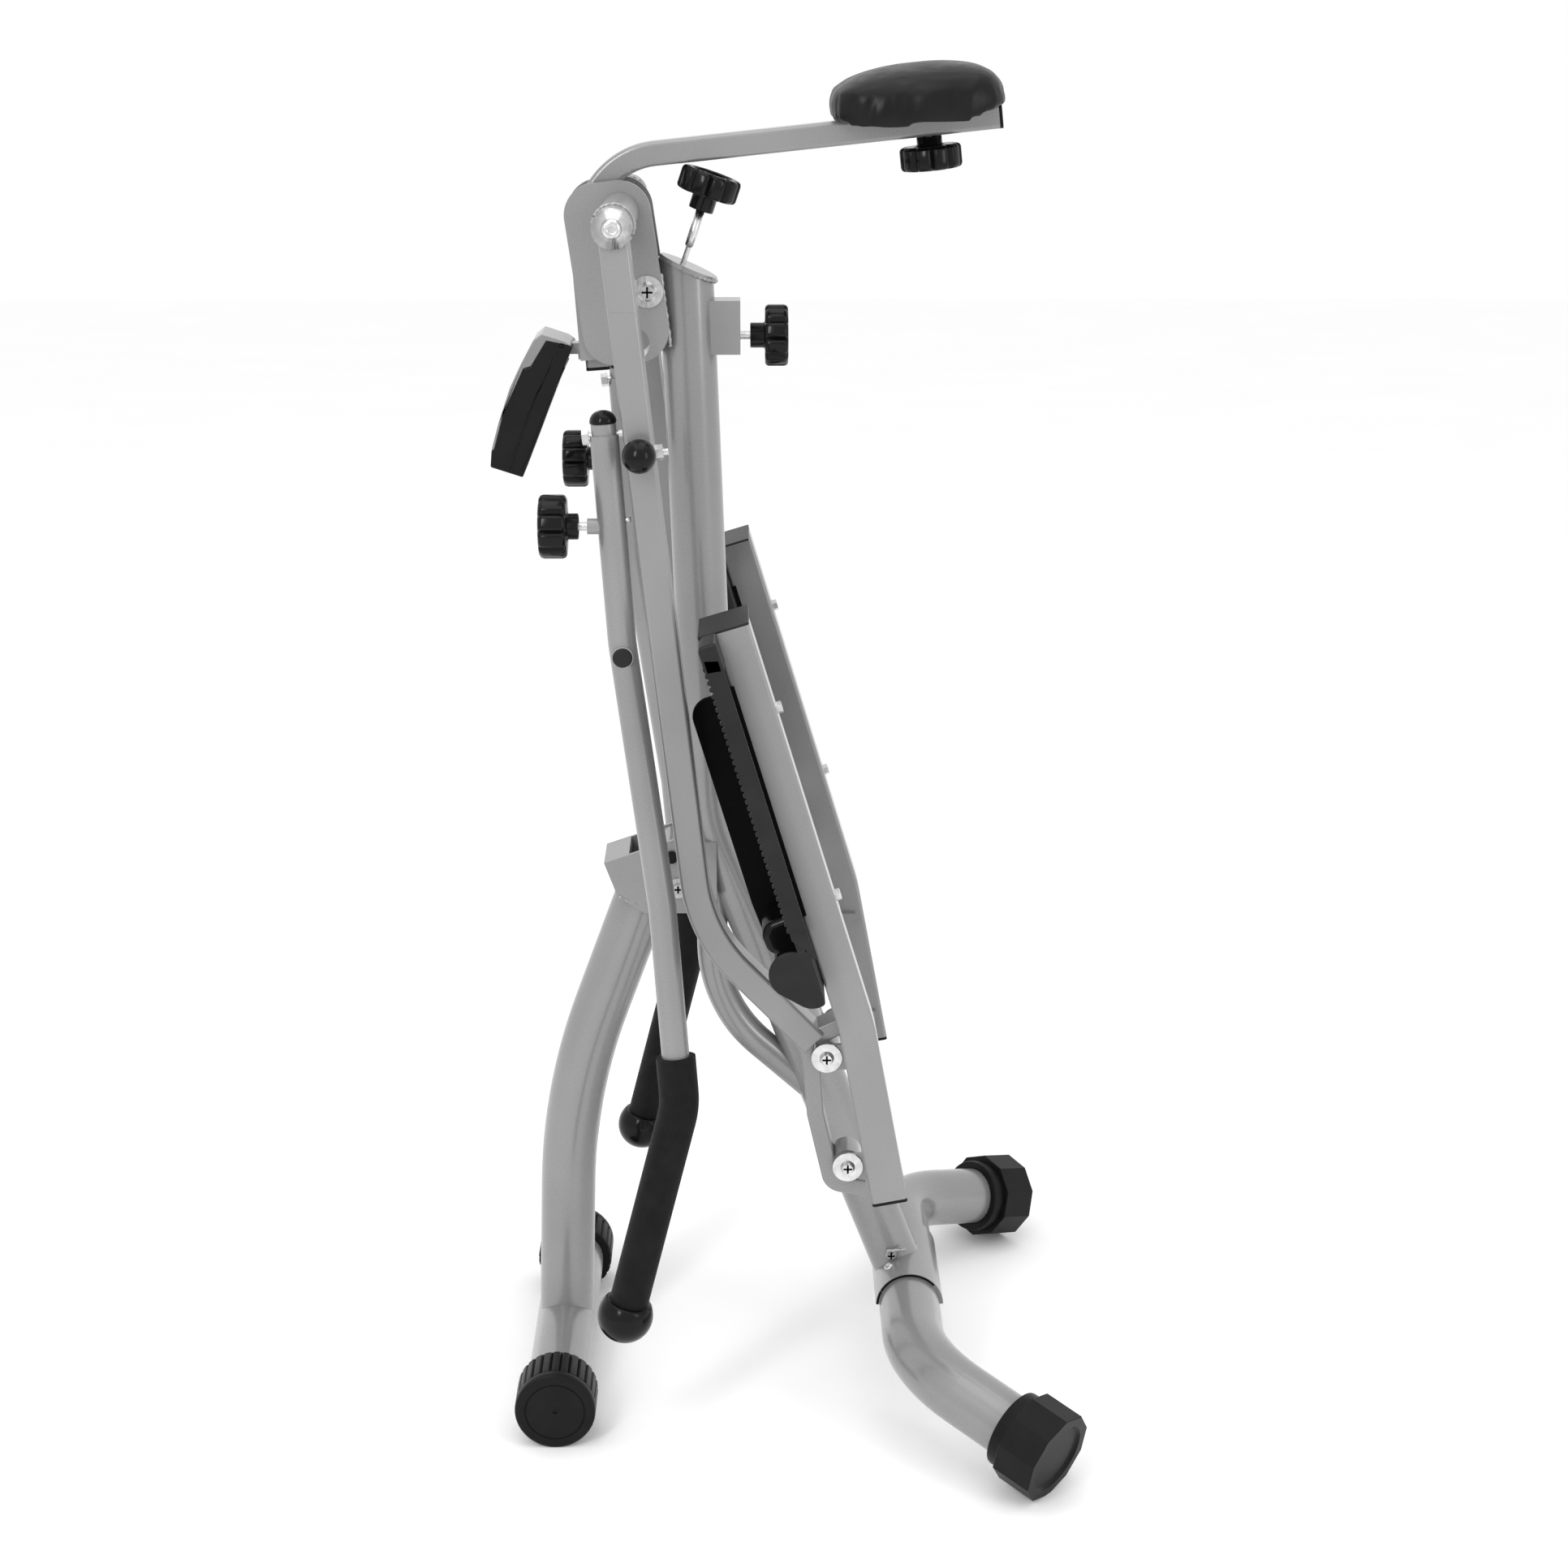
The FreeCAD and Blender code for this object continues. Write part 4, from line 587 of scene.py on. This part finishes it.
def grip_mushroom(word, side):
    low = V(-148, side * 223, 171)
    down = (low - V(-98.5, side * 220, 366)).normalized()
    mushroom = [(0, -2), (16.8, -2), (17.2, -0.4), (19.6, -0.2)]
    for radius, height in ball_profile(26, 57, 26):
        mushroom.append((radius, 14.3 + height))
    cap = turned(f"{word}_mushroom", low, down, mushroom, GLOSS, f"{word}_handle_body",
                 88)
    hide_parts(f"{word}_grip_cap")


def shaft_dome(word, side, out):
    profile = ((0, 0), (17.2, 0), (17.5, 0.4), (17.5, 0.9), (9.0, 1.2), (8.8, 2.6), (8.0, 4.3),
               (6.2, 5.6), (3.4, 6.0), (3.0, 4.4), (0, 4.2))
    turned(f"{word}_shaft_dome", V(SHAFT_X, side * 188, SHAFT_Z), out, profile, ZINC, "frame",
           56)


def handle_fittings(word, side, out):
    """The round plug in the handle tube's side and the tip of its clamp screw."""
    tube = f"{word}_handle_body"
    plug = stub_point(778, side * 174.6)
    rim = ((8.3, 6.5), (10.0, 6.5), (10.0, 11.6), (9.5, 12.3), (8.9, 12.4), (8.3, 11.4))
    turned(f"{word}_tube_plug_rim", plug, out, rim, SILVER, tube, 48)
    button = ((0, 6), (8.8, 6), (8.8, 12.2), (8.2, 12.9), (7.4, 13.1), (3.0, 13.4), (0, 13.4))
    turned(f"{word}_tube_plug", plug, out, button, TREAD, tube, 48)
    tip = ((0, 10), (2.6, 10), (2.6, 16.2), (2.0, 17.0), (0, 17.0))
    turned(f"{word}_clamp_tip", stub_point(899, side * HANDLE_Y), Vector((1, 0, 0)), tip, ZINC,
           tube, 24)


# In metres: half the width of a slot, its rise over the face and its depth.
SLOT_HALF = 0.0009
SLOT_RISE = 0.00025
SLOT_SINK = 0.0012


def cross_recess(name, face, out, body, reach=4.2):
    """Crossed slots on a screw head, drawn as thin near-black sheets that paint the shade in them,
    each reach mm to both sides of its middle.
    """
    axis, across, up = basis(out)
    for number, (long, short) in enumerate(((across, up), (up, across))):
        corners = []
        for a, b in ((-1, -1), (1, -1), (1, 1), (-1, 1)):
            corners.append(face + long * (a * reach / 1000) + short * (b * SLOT_HALF))
        verts = [c + axis * SLOT_RISE for c in corners] + [c - axis * SLOT_SINK for c in corners]
        add_mesh(f"{name}_slot{number}", verts, prism_faces(4), DARK, body,
                 smooth=False)


YOKE_BOLTS = (("lock", 36, 399), ("fold", 56, 290))


def side_fittings(word, side):
    out = Vector((0, side, 0))
    ball_pin(word, side, out)
    stub_dome(word, side)
    grip_mushroom(word, side)
    shaft_dome(word, side, out)
    handle_fittings(word, side, out)
    for bolt, x, z in YOKE_BOLTS:
        cross_recess(f"{word}_{bolt}", V(x, side * 193.7, z), out, f"{word}_arm_body")


for word, side in SIDES:
    side_fittings(word, side)
for word, side in SIDES:
    cross_recess(f"{word}_clamp", V(-125, side * 35.5, 1080), Vector((0, side, 0)), "frame", 5.0)
cross_recess("hinge_bolt", V(-103, -37.8, 512), Vector((0, -1, 0)), "frame", 3.6)
cross_recess("saddle_screw_head", V(106.0, -31.5, 122), Vector((0, -1, 0)), "frame", 3.6)

# --------------------------------------------------------------- footplates

RAIL_TOP = Vector((-49.7, 202, 810.4))
RAIL_UP = Vector((-112.1, 0, 371.4)).normalized()
RAIL_FRONT = Vector((-RAIL_UP.z, 0, RAIL_UP.x))


def rail_point(side, out, y, down):
    """mm out of the rail's foot side, towards +Y, and down from its top end."""
    top = Vector((RAIL_TOP.x, side * RAIL_TOP.y + y, RAIL_TOP.z))
    place = top + RAIL_FRONT * out - RAIL_UP * down
    return V(place.x, place.y, place.z)


def rail_prism(name, side, outline, first_y, last_y, round_mm, mat=TREAD, segments=3):
    """An outline of (out, down) points carried between two Y values."""
    low_y, high_y = sorted((first_y, last_y))
    verts = [rail_point(side, out, low_y, down) for out, down in outline]
    verts += [rail_point(side, out, high_y, down) for out, down in outline]
    word = "left" if side < 0 else "right"
    obj = add_mesh(f"{word}_{name}", verts, prism_faces(len(outline)), mat, f"{word}_rail_body",
                   smooth=False)
    if round_mm:
        soften(obj, round_mm, segments, 28)
    return obj


def arc(centre, radius, start, end, steps):
    """Points on a circle between two angles in degrees."""
    points = []
    for step in range(steps + 1):
        angle = math.radians(start + (end - start) * step / steps)
        points.append((centre[0] + radius * math.cos(angle), centre[1] + radius * math.sin(angle)))
    return points


# The footplate in mm: half its width, its cross ribs and the teeth of its outer edge.
PLATE_HALF = 56
TREAD_RIBS = 26
RIB_START = 34
RIB_PITCH = 9.4
TOOTH_PITCH = 6.2


def toe_end(word, side, outer, inner):
    """The toe bar, and the thin cover that carries it over the rail's end."""
    cover = rail_prism("toe_cover", side, ((-16.5, -2.2), (30, -2.2), (30, 0), (-16.5, 0)),
                       inner, side * 15, 0.7)
    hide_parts(f"{word}_footplate")
    bar = [(13.0, -2.2), (24.0, -2.2)] + arc((24.0, 3.8), 6.0, -80, 0, 5) + [(30, 24), (13.0, 26)]
    rail_prism("toe_bar", side, bar, outer, side * 15.5, 2.6)
    inside = [(16.6, 0.1), (30, -2.0), (30, 24), (16.6, 26)]
    rail_prism("toe_inside", side, inside, side * 15.4, inner, 0.8)


def tread(side, outer, inner):
    """The tray with its cross ribs."""
    rail_prism("tray", side, ((16.6, 20), (27, 20), (27, 326), (16.6, 326)),
               outer * 0.99, inner * 0.99, 0.8)
    for number in range(TREAD_RIBS):
        top = RIB_START + number * RIB_PITCH
        rib = ((26.5, top), (28.6, top + 1.2), (28.6, top + 3.4), (26.5, top + 4.6))
        rail_prism(f"tread{number}", side, rib, outer * 0.88, inner * 0.86, 0)


def plate_walls(side, outer, inner):
    """The toothed outer edge, and the inner wall with its rounded top."""
    edge = [(13.2, 14), (28.0, 10)]
    down = 16.0
    while down < 268:
        edge += [(28.2, down), (30.6, down + 1.3), (30.6, down + 3.6), (28.2, down + 4.9)]
        down += TOOTH_PITCH
    edge += [(28.6, 276), (13.2, 300)]
    rail_prism("outer_edge", side, edge, outer, outer - side * 5, 0.6, segments=2)
    # The inner wall is painted shade: the plate's plastic drawn near-black where the wall lies in
    # shadow inside the tray.
    wall = [(16.7, 68.5), (44.5, 68.5)] + arc((44.5, 86.5), 18, -88, 0, 10)
    wall += [(62.5, 268), (60.5, 296), (52, 322), (16.7, 330)]
    rail_prism("inner_wall", side, wall, inner, inner + side * 6, 1.6, DARK)


def heel_cup(side, outer, inner):
    """Two end discs, the shell between them and the ramp up the inner wall."""
    disc = [(16.7, 284)] + arc((36.5, 307.5), 22, -118, 36, 20)
    disc += arc((24.0, 324.5), 19.3, 40, 112, 8) + [(16.7, 340)]
    rail_prism("heel_outer", side, disc, outer, outer - side * 5, 2.2)
    rail_prism("heel_inner", side, disc, inner, inner + side * 5, 2.2)
    shell = arc((36.5, 307.5), 21.4, 24, 36, 3) + arc((24.0, 324.5), 18.8, 40, 112, 10)
    shell += [(16.7, 336), (16.7, 320)] + arc((24.0, 321.5), 13.5, 110, 20, 8)
    shell += arc((36.5, 305.5), 16.5, 36, 20, 3)
    rail_prism("heel_shell", side, shell, outer * 0.95, inner * 0.95, 1.2)
    ramp = [(27.5, 270.5), (50, 272), (58.5, 282), (57, 300), (27.5, 322)]
    rail_prism("heel_ramp", side, ramp, inner * 0.9, side * 2, 6.5, GLOSS, 5)


def footplate(word, side):
    outer = side * PLATE_HALF
    inner = -outer
    toe_end(word, side, outer, inner)
    tread(side, outer, inner)
    plate_walls(side, outer, inner)
    heel_cup(side, outer, inner)
    # Two thin near-black strips just outside the rail's sides are painted shadow along the gaps
    # where the plate meets the rail.
    strip = ((12.2, 48.5), (18, 48.5), (18, 270), (12.2, 270))
    for number, y in enumerate((-17.6, 15.2)):
        rail_prism(f"edge_strip{number}", side, strip, y, y + 2.4, 0.5, DARK)


for word, side in SIDES:
    footplate(word, side)

# ------------------------------------------------------------------- console

BACK_SHELL = ((-217.4, 1036), (-195.8, 1031.5), (-194.2, 1029.5), (-242, 910.5), (-271.5, 920.1),
              (-270.1, 936.2), (-267.5, 936.2), (-257.9, 970.5), (-238.8, 1010.8), (-231.7, 1012.9))
FRONT_SHELL = ((-222.1, 1041.9), (-200.7, 1034.8), (-195.8, 1031.5), (-217.4, 1036),
               (-231.7, 1012.9), (-238.8, 1010.8), (-257.9, 970.5), (-267.5, 936.2),
               (-270.1, 936.2), (-262.9, 961.4), (-251.9, 992.7), (-240.8, 1015.4), (-229.5, 1036))
CONSOLE_HALF = 30.0
# Lengthwise lines on each side of the console: radius in mm, then its points.
CONSOLE_LINES = (
    (0.9, ((-208, 1025), (-214, 1013), (-227, 987), (-239, 959), (-248, 935), (-253.5, 919))),
    (0.6, ((-201, 1012), (-214, 985), (-229, 950), (-243, 917))),
)


def console():
    back = extruded("console_back", BACK_SHELL, CONSOLE_HALF, SHELL, "console_body",
                    3.0)
    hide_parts("console_back_shell")
    front = extruded("console_front", FRONT_SHELL, CONSOLE_HALF, SILVER_PLASTIC, "console_body",
                     2.2)
    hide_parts("console_front_shell")
    screw = ((0, 0), (2.2, 0), (2.2, 1.2), (1.6, 1.4), (1.4, 0.7), (0, 0.6))
    for word, side in SIDES:
        for number, (radius, line) in enumerate(CONSOLE_LINES):
            path = [V(x, side * CONSOLE_HALF, z) for x, z in line]
            strip_along(f"console_{word}_line{number}", path, radius, SHELL, "console_body")
        turned(f"console_{word}_screw", V(-203.5, side * 29.0, 1031.5), Vector((0, side, 0)),
               screw, DARK, "console_body", 24)


console()

# --------------------------------------------------------------- seat pad

def smooth_step(value):
    """An eased ramp from 0 to 1."""
    value = max(0.0, min(1.0, value))
    return value * value * (3 - 2 * value)


PAD_HALF = (77.0, 75.0)
PAD_MIDDLE_X = 120.5
PAD_SQUARENESS = 4.2
RING_POINTS = 96
PAD_FLOOR = 6.4
PAD_CROWN = 43.4
# (inset from the outline, height over the arm) in mm, from the underside round to the crown.
PAD_RINGS = ((14, 6.2), (8, 1.0), (4.0, -8.0), (1.6, -7.4), (0.2, 0.5), (-0.4, 8.0), (0.3, 16.0),
             (3.0, 24.0), (8.5, 30.0), (18.0, 34.8), (31.0, 38.6), (46.0, 41.4), (60.0, 42.8))
HEM_LEVEL = 2.2


def rounded(value):
    """A cosine or sine bent towards a rounded rectangle."""
    return math.copysign(abs(value) ** (2 / PAD_SQUARENESS), value)


def pad_ring(inset, height):
    """One closed line of the cushion; the low ones rise over the arm and at both ends."""
    ring = []
    for step in range(RING_POINTS):
        angle = 2 * math.pi * step / RING_POINTS
        x = (PAD_HALF[0] - inset) * rounded(math.cos(angle))
        y = (PAD_HALF[1] - inset) * rounded(math.sin(angle))
        level = height
        if height < 2.0:
            clear = smooth_step((abs(y) - 17) / 9)
            clear *= 1 - 0.85 * smooth_step((abs(x) - 46) / 30)
            level = height * clear + HEM_LEVEL * (1 - clear)
            level += 1.6 * math.sin(x * 0.11 + 1.2) * clear * (0.5 if height > -1 else 1)
        if 0 < height < 30:
            pull = math.sin(angle * 9 + 0.7) + 0.6 * math.sin(angle * 17 + 2.1)
            fade = 1 - abs(height - 10) / 22
            x *= 1 + 0.0045 * pull * fade
            y *= 1 + 0.0045 * pull * fade
        if 2 < height < 30:
            level -= 3.2 * (x / PAD_HALF[0])
        ring.append(pad_point(PAD_MIDDLE_X + x, y, level))
    return ring


def pad_base():
    """A crowned rectangular cushion with a hem that dips below the board."""
    verts = [pad_point(PAD_MIDDLE_X, 0, PAD_FLOOR)]
    for inset, height in PAD_RINGS:
        verts += pad_ring(inset, height)
    verts.append(pad_point(PAD_MIDDLE_X, 0, PAD_CROWN))
    top = len(verts) - 1
    crown_ring = top - RING_POINTS
    pairs = [(step, (step + 1) % RING_POINTS) for step in range(RING_POINTS)]
    faces = [[0, 1 + after, 1 + step] for step, after in pairs]
    for base in range(1, crown_ring, RING_POINTS):
        upper = base + RING_POINTS
        for step, after in pairs:
            faces.append([base + step, base + after, upper + after, upper + step])
    faces += [[crown_ring + step, crown_ring + after, top] for step, after in pairs]
    return add_mesh("seat_cushion", verts, faces, VINYL, "pad_body")


# In metres: the remesh step, and the farthest that the cloth run may move a point.
PAD_VOXEL = 0.0045
PUFF_LIMIT = 0.006
PUFF_FRAMES = 20


def apply_modifiers(obj):
    graph = bpy.context.evaluated_depsgraph_get()
    mesh = bpy.data.meshes.new_from_object(obj.evaluated_get(graph))
    old = obj.data
    obj.modifiers.clear()
    obj.data = mesh
    bpy.data.meshes.remove(old)


def puff(obj):
    """Fill the cushion by cloth pressure, with every point's travel capped."""
    remesh = obj.modifiers.new("remesh", "REMESH")
    remesh.mode = "VOXEL"
    remesh.voxel_size = PAD_VOXEL
    apply_modifiers(obj)
    start = [v.co.copy() for v in obj.data.vertices]
    keep = obj.vertex_groups.new(name="keep")
    for vert in obj.data.vertices:
        height = (vert.co - pad_point(PAD_MIDDLE_X, 0, 0)).dot(PAD_NORMAL) * 1000
        weight = 1 - smooth_step((height - 3) / 9)
        if weight > 0:
            keep.add([vert.index], weight, "REPLACE")
    cloth = obj.modifiers.new("cloth", "CLOTH")
    cloth.settings.use_pressure = True
    cloth.settings.uniform_pressure_force = 4.0
    cloth.settings.quality = 6
    cloth.settings.mass = 0.25
    cloth.settings.tension_stiffness = 18
    cloth.settings.compression_stiffness = 12
    cloth.settings.bending_stiffness = 0.6
    cloth.settings.vertex_group_mass = "keep"
    cloth.settings.effector_weights.gravity = 0
    cloth.point_cache.frame_start = 1
    cloth.point_cache.frame_end = PUFF_FRAMES
    scene = bpy.context.scene
    for number in range(1, PUFF_FRAMES + 1):
        scene.frame_set(number)
    graph = bpy.context.evaluated_depsgraph_get()
    shaped = [v.co.copy() for v in obj.evaluated_get(graph).data.vertices]
    obj.modifiers.clear()
    scene.frame_set(1)
    for vert, before, after in zip(obj.data.vertices, start, shaped):
        move = after - before
        if move.length > PUFF_LIMIT:
            move *= PUFF_LIMIT / move.length
        vert.co = before + move
    obj.vertex_groups.clear()


def wrinkle(obj):
    """Push the lower edge in and out where the cover is gathered under the board."""
    centre = pad_point(PAD_MIDDLE_X, 0, 0)
    for vert in obj.data.vertices:
        local = vert.co - centre
        height = local.dot(PAD_NORMAL) * 1000
        edge = max(abs(local.dot(PAD_OUT)) * 1000 / PAD_HALF[0], abs(local.y) * 1000 / PAD_HALF[1])
        fold = smooth_step((edge - 0.80) / 0.2) * smooth_step((34 - height) / 20)
        wave = noise.noise(Vector((local.x * 60, local.y * 60, height * 0.05)))
        fine = noise.noise(Vector((local.x * 160, local.y * 160, height * 0.03 + 5)))
        outward = Vector((local.x, local.y, 0)).normalized()
        vert.co += outward * ((wave * 1.9 + fine * 0.8) * fold / 1000)


def seat():
    cushion = pad_base()
    puff(cushion)
    detail = cushion.modifiers.new("detail", "SUBSURF")
    detail.levels = 1
    detail.render_levels = 1
    apply_modifiers(cushion)
    wrinkle(cushion)
    for face in cushion.data.polygons:
        face.use_smooth = True
    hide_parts("seat_pad")


seat()

# --------------------------------------------------------------- weld beads

BEAD_STEP = 0.0022      # metres between two points of a bead


def bead_ring(name, centre, axis, radius_mm, body, thick):
    _, across, up = basis(axis)
    count = int(radius_mm * 4)
    path = []
    for step in range(count):
        angle = 2 * math.pi * step / count
        path.append(centre + (across * math.cos(angle) + up * math.sin(angle)) * (radius_mm / 1000))
    strip_along(name, path, thick, WELD, body, 0.22, closed=True)


def bead_line(name, first, last, body, thick):
    count = max(6, int((last - first).length / BEAD_STEP))
    path = [first.lerp(last, step / count) for step in range(count + 1)]
    strip_along(name, path, thick, WELD, body, 0.25)


def welds():
    for word, side in SIDES:
        body = f"{word}_arm_body"
        bead_ring(f"{word}_hub_weld", V(SHAFT_X, side * 155.0, SHAFT_Z), Vector((0, 1, 0)), 17.8,
                  body, 1.6)
        yoke_face = side * 181.0
        bead_line(f"{word}_yoke_weld", V(21.5, yoke_face, 425), V(27.5, yoke_face, 402), body, 1.7)
        bead_line(f"{word}_plate_weld", V(-112.6, side * 27.2, 1096), V(-104.5, side * 25.6, 1030),
                  "frame", 1.7)
        bead_line(f"{word}_guide_weld", V(-176, side * 25.4, 1127), V(-163, side * 25.4, 1127.6),
                  "frame", 1.5)
    tilt = math.radians(23.5)
    axis = Vector((math.sin(tilt), 0, math.cos(tilt)))
    bead_ring("cap_weld", V(-86, 0, 1097) - axis * 0.0008, axis, 25.4, "frame", 1.5)
    for word, side in SIDES:
        bead_line(f"{word}_channel_weld", V(-160.5, side * 30.6, 503.5), V(-141, side * 29.6, 493.5),
                  "front_leg_body", 1.6)


welds()


def saddle_edges():
    """A near-black strip of painted shadow along each end of the sleeve over the foot tube."""
    for word, side in SIDES:
        curve = arc((FOOT_CORNER.x, FOOT_CORNER.z), 31.9, 178, 42, 40)
        path = [V(x, side * 64.4, z) for x, z in curve]
        strip_along(f"saddle_{word}_edge", path, 1.05, DARK, "frame")


def sleeve_details():
    axis = Vector((-0.5, -0.35, 0.79)).normalized()
    head = ((0, -1), (5.0, -1), (5.0, 0.6), (4.2, 2.0), (2.4, 2.8), (1.4, 2.0), (0, 1.9))
    turned("sleeve_screw", V(103.5, -34, 111.6), axis, head, ZINC, "frame", 28)
    bead_line("sleeve_weld", V(101, -28, 126), V(121, -29.5, 128.5), "frame", 1.8)


saddle_edges()
sleeve_details()


# ------------------------------------------------------------ camera and light

def studio_floor():
    """A plain pale floor, 18 metres across and half a millimetre under the machine's feet."""
    half = 9
    verts = [(a * half, b * half, -0.0005) for a, b in ((-1, -1), (1, -1), (1, 1), (-1, 1))]
    data = bpy.data.meshes.new("floor")
    data.from_pydata(verts, [], [(0, 1, 2, 3)])
    p = Paint("studio_floor")
    p.colour(p.span(p.grain(3), 0, 1), grey(0.97), grey(0.985))
    p.rough(p.grain(5), 0.85, 0.95)
    data.materials.append(p.mat)
    floor = bpy.data.objects.new("floor", data)
    bpy.context.scene.collection.objects.link(floor)


def soft_box(name, place, target, size, power):
    lamp = bpy.data.lights.new(name, "AREA")
    lamp.shape = "RECTANGLE"
    lamp.size = size[0]
    lamp.size_y = size[1]
    lamp.energy = power
    obj = bpy.data.objects.new(name, lamp)
    obj.location = place
    obj.rotation_euler = (Vector(target) - Vector(place)).to_track_quat("-Z", "Y").to_euler()
    bpy.context.scene.collection.objects.link(obj)


studio_floor()
soft_box("key", (-1.3, -2.5, 2.3), (0, 0, 0.7), (0.35, 1.5), 30)
soft_box("fill", (2.2, -1.9, 1.5), (0, 0, 0.6), (0.5, 1.6), 12)
soft_box("top", (0.0, -0.3, 3.0), (0, 0, 0.6), (2.2, 2.2), 18)

world = bpy.data.worlds.new("studio")
world.use_nodes = True
surround = world.node_tree.nodes["Background"]
surround.inputs["Color"].default_value = (1, 1, 1, 1)
surround.inputs["Strength"].default_value = 1.0
bpy.context.scene.world = world
bpy.context.scene.view_settings.view_transform = "Standard"

lens = bpy.data.cameras.new("camera")
lens.lens = 64.86
lens.sensor_width = 36
camera = bpy.data.objects.new("camera", lens)
camera.location = V(-33, -2608, 1379)
camera.rotation_euler = (math.radians(73.5), 0, math.radians(-0.704))
bpy.context.scene.collection.objects.link(camera)
bpy.context.scene.camera = camera
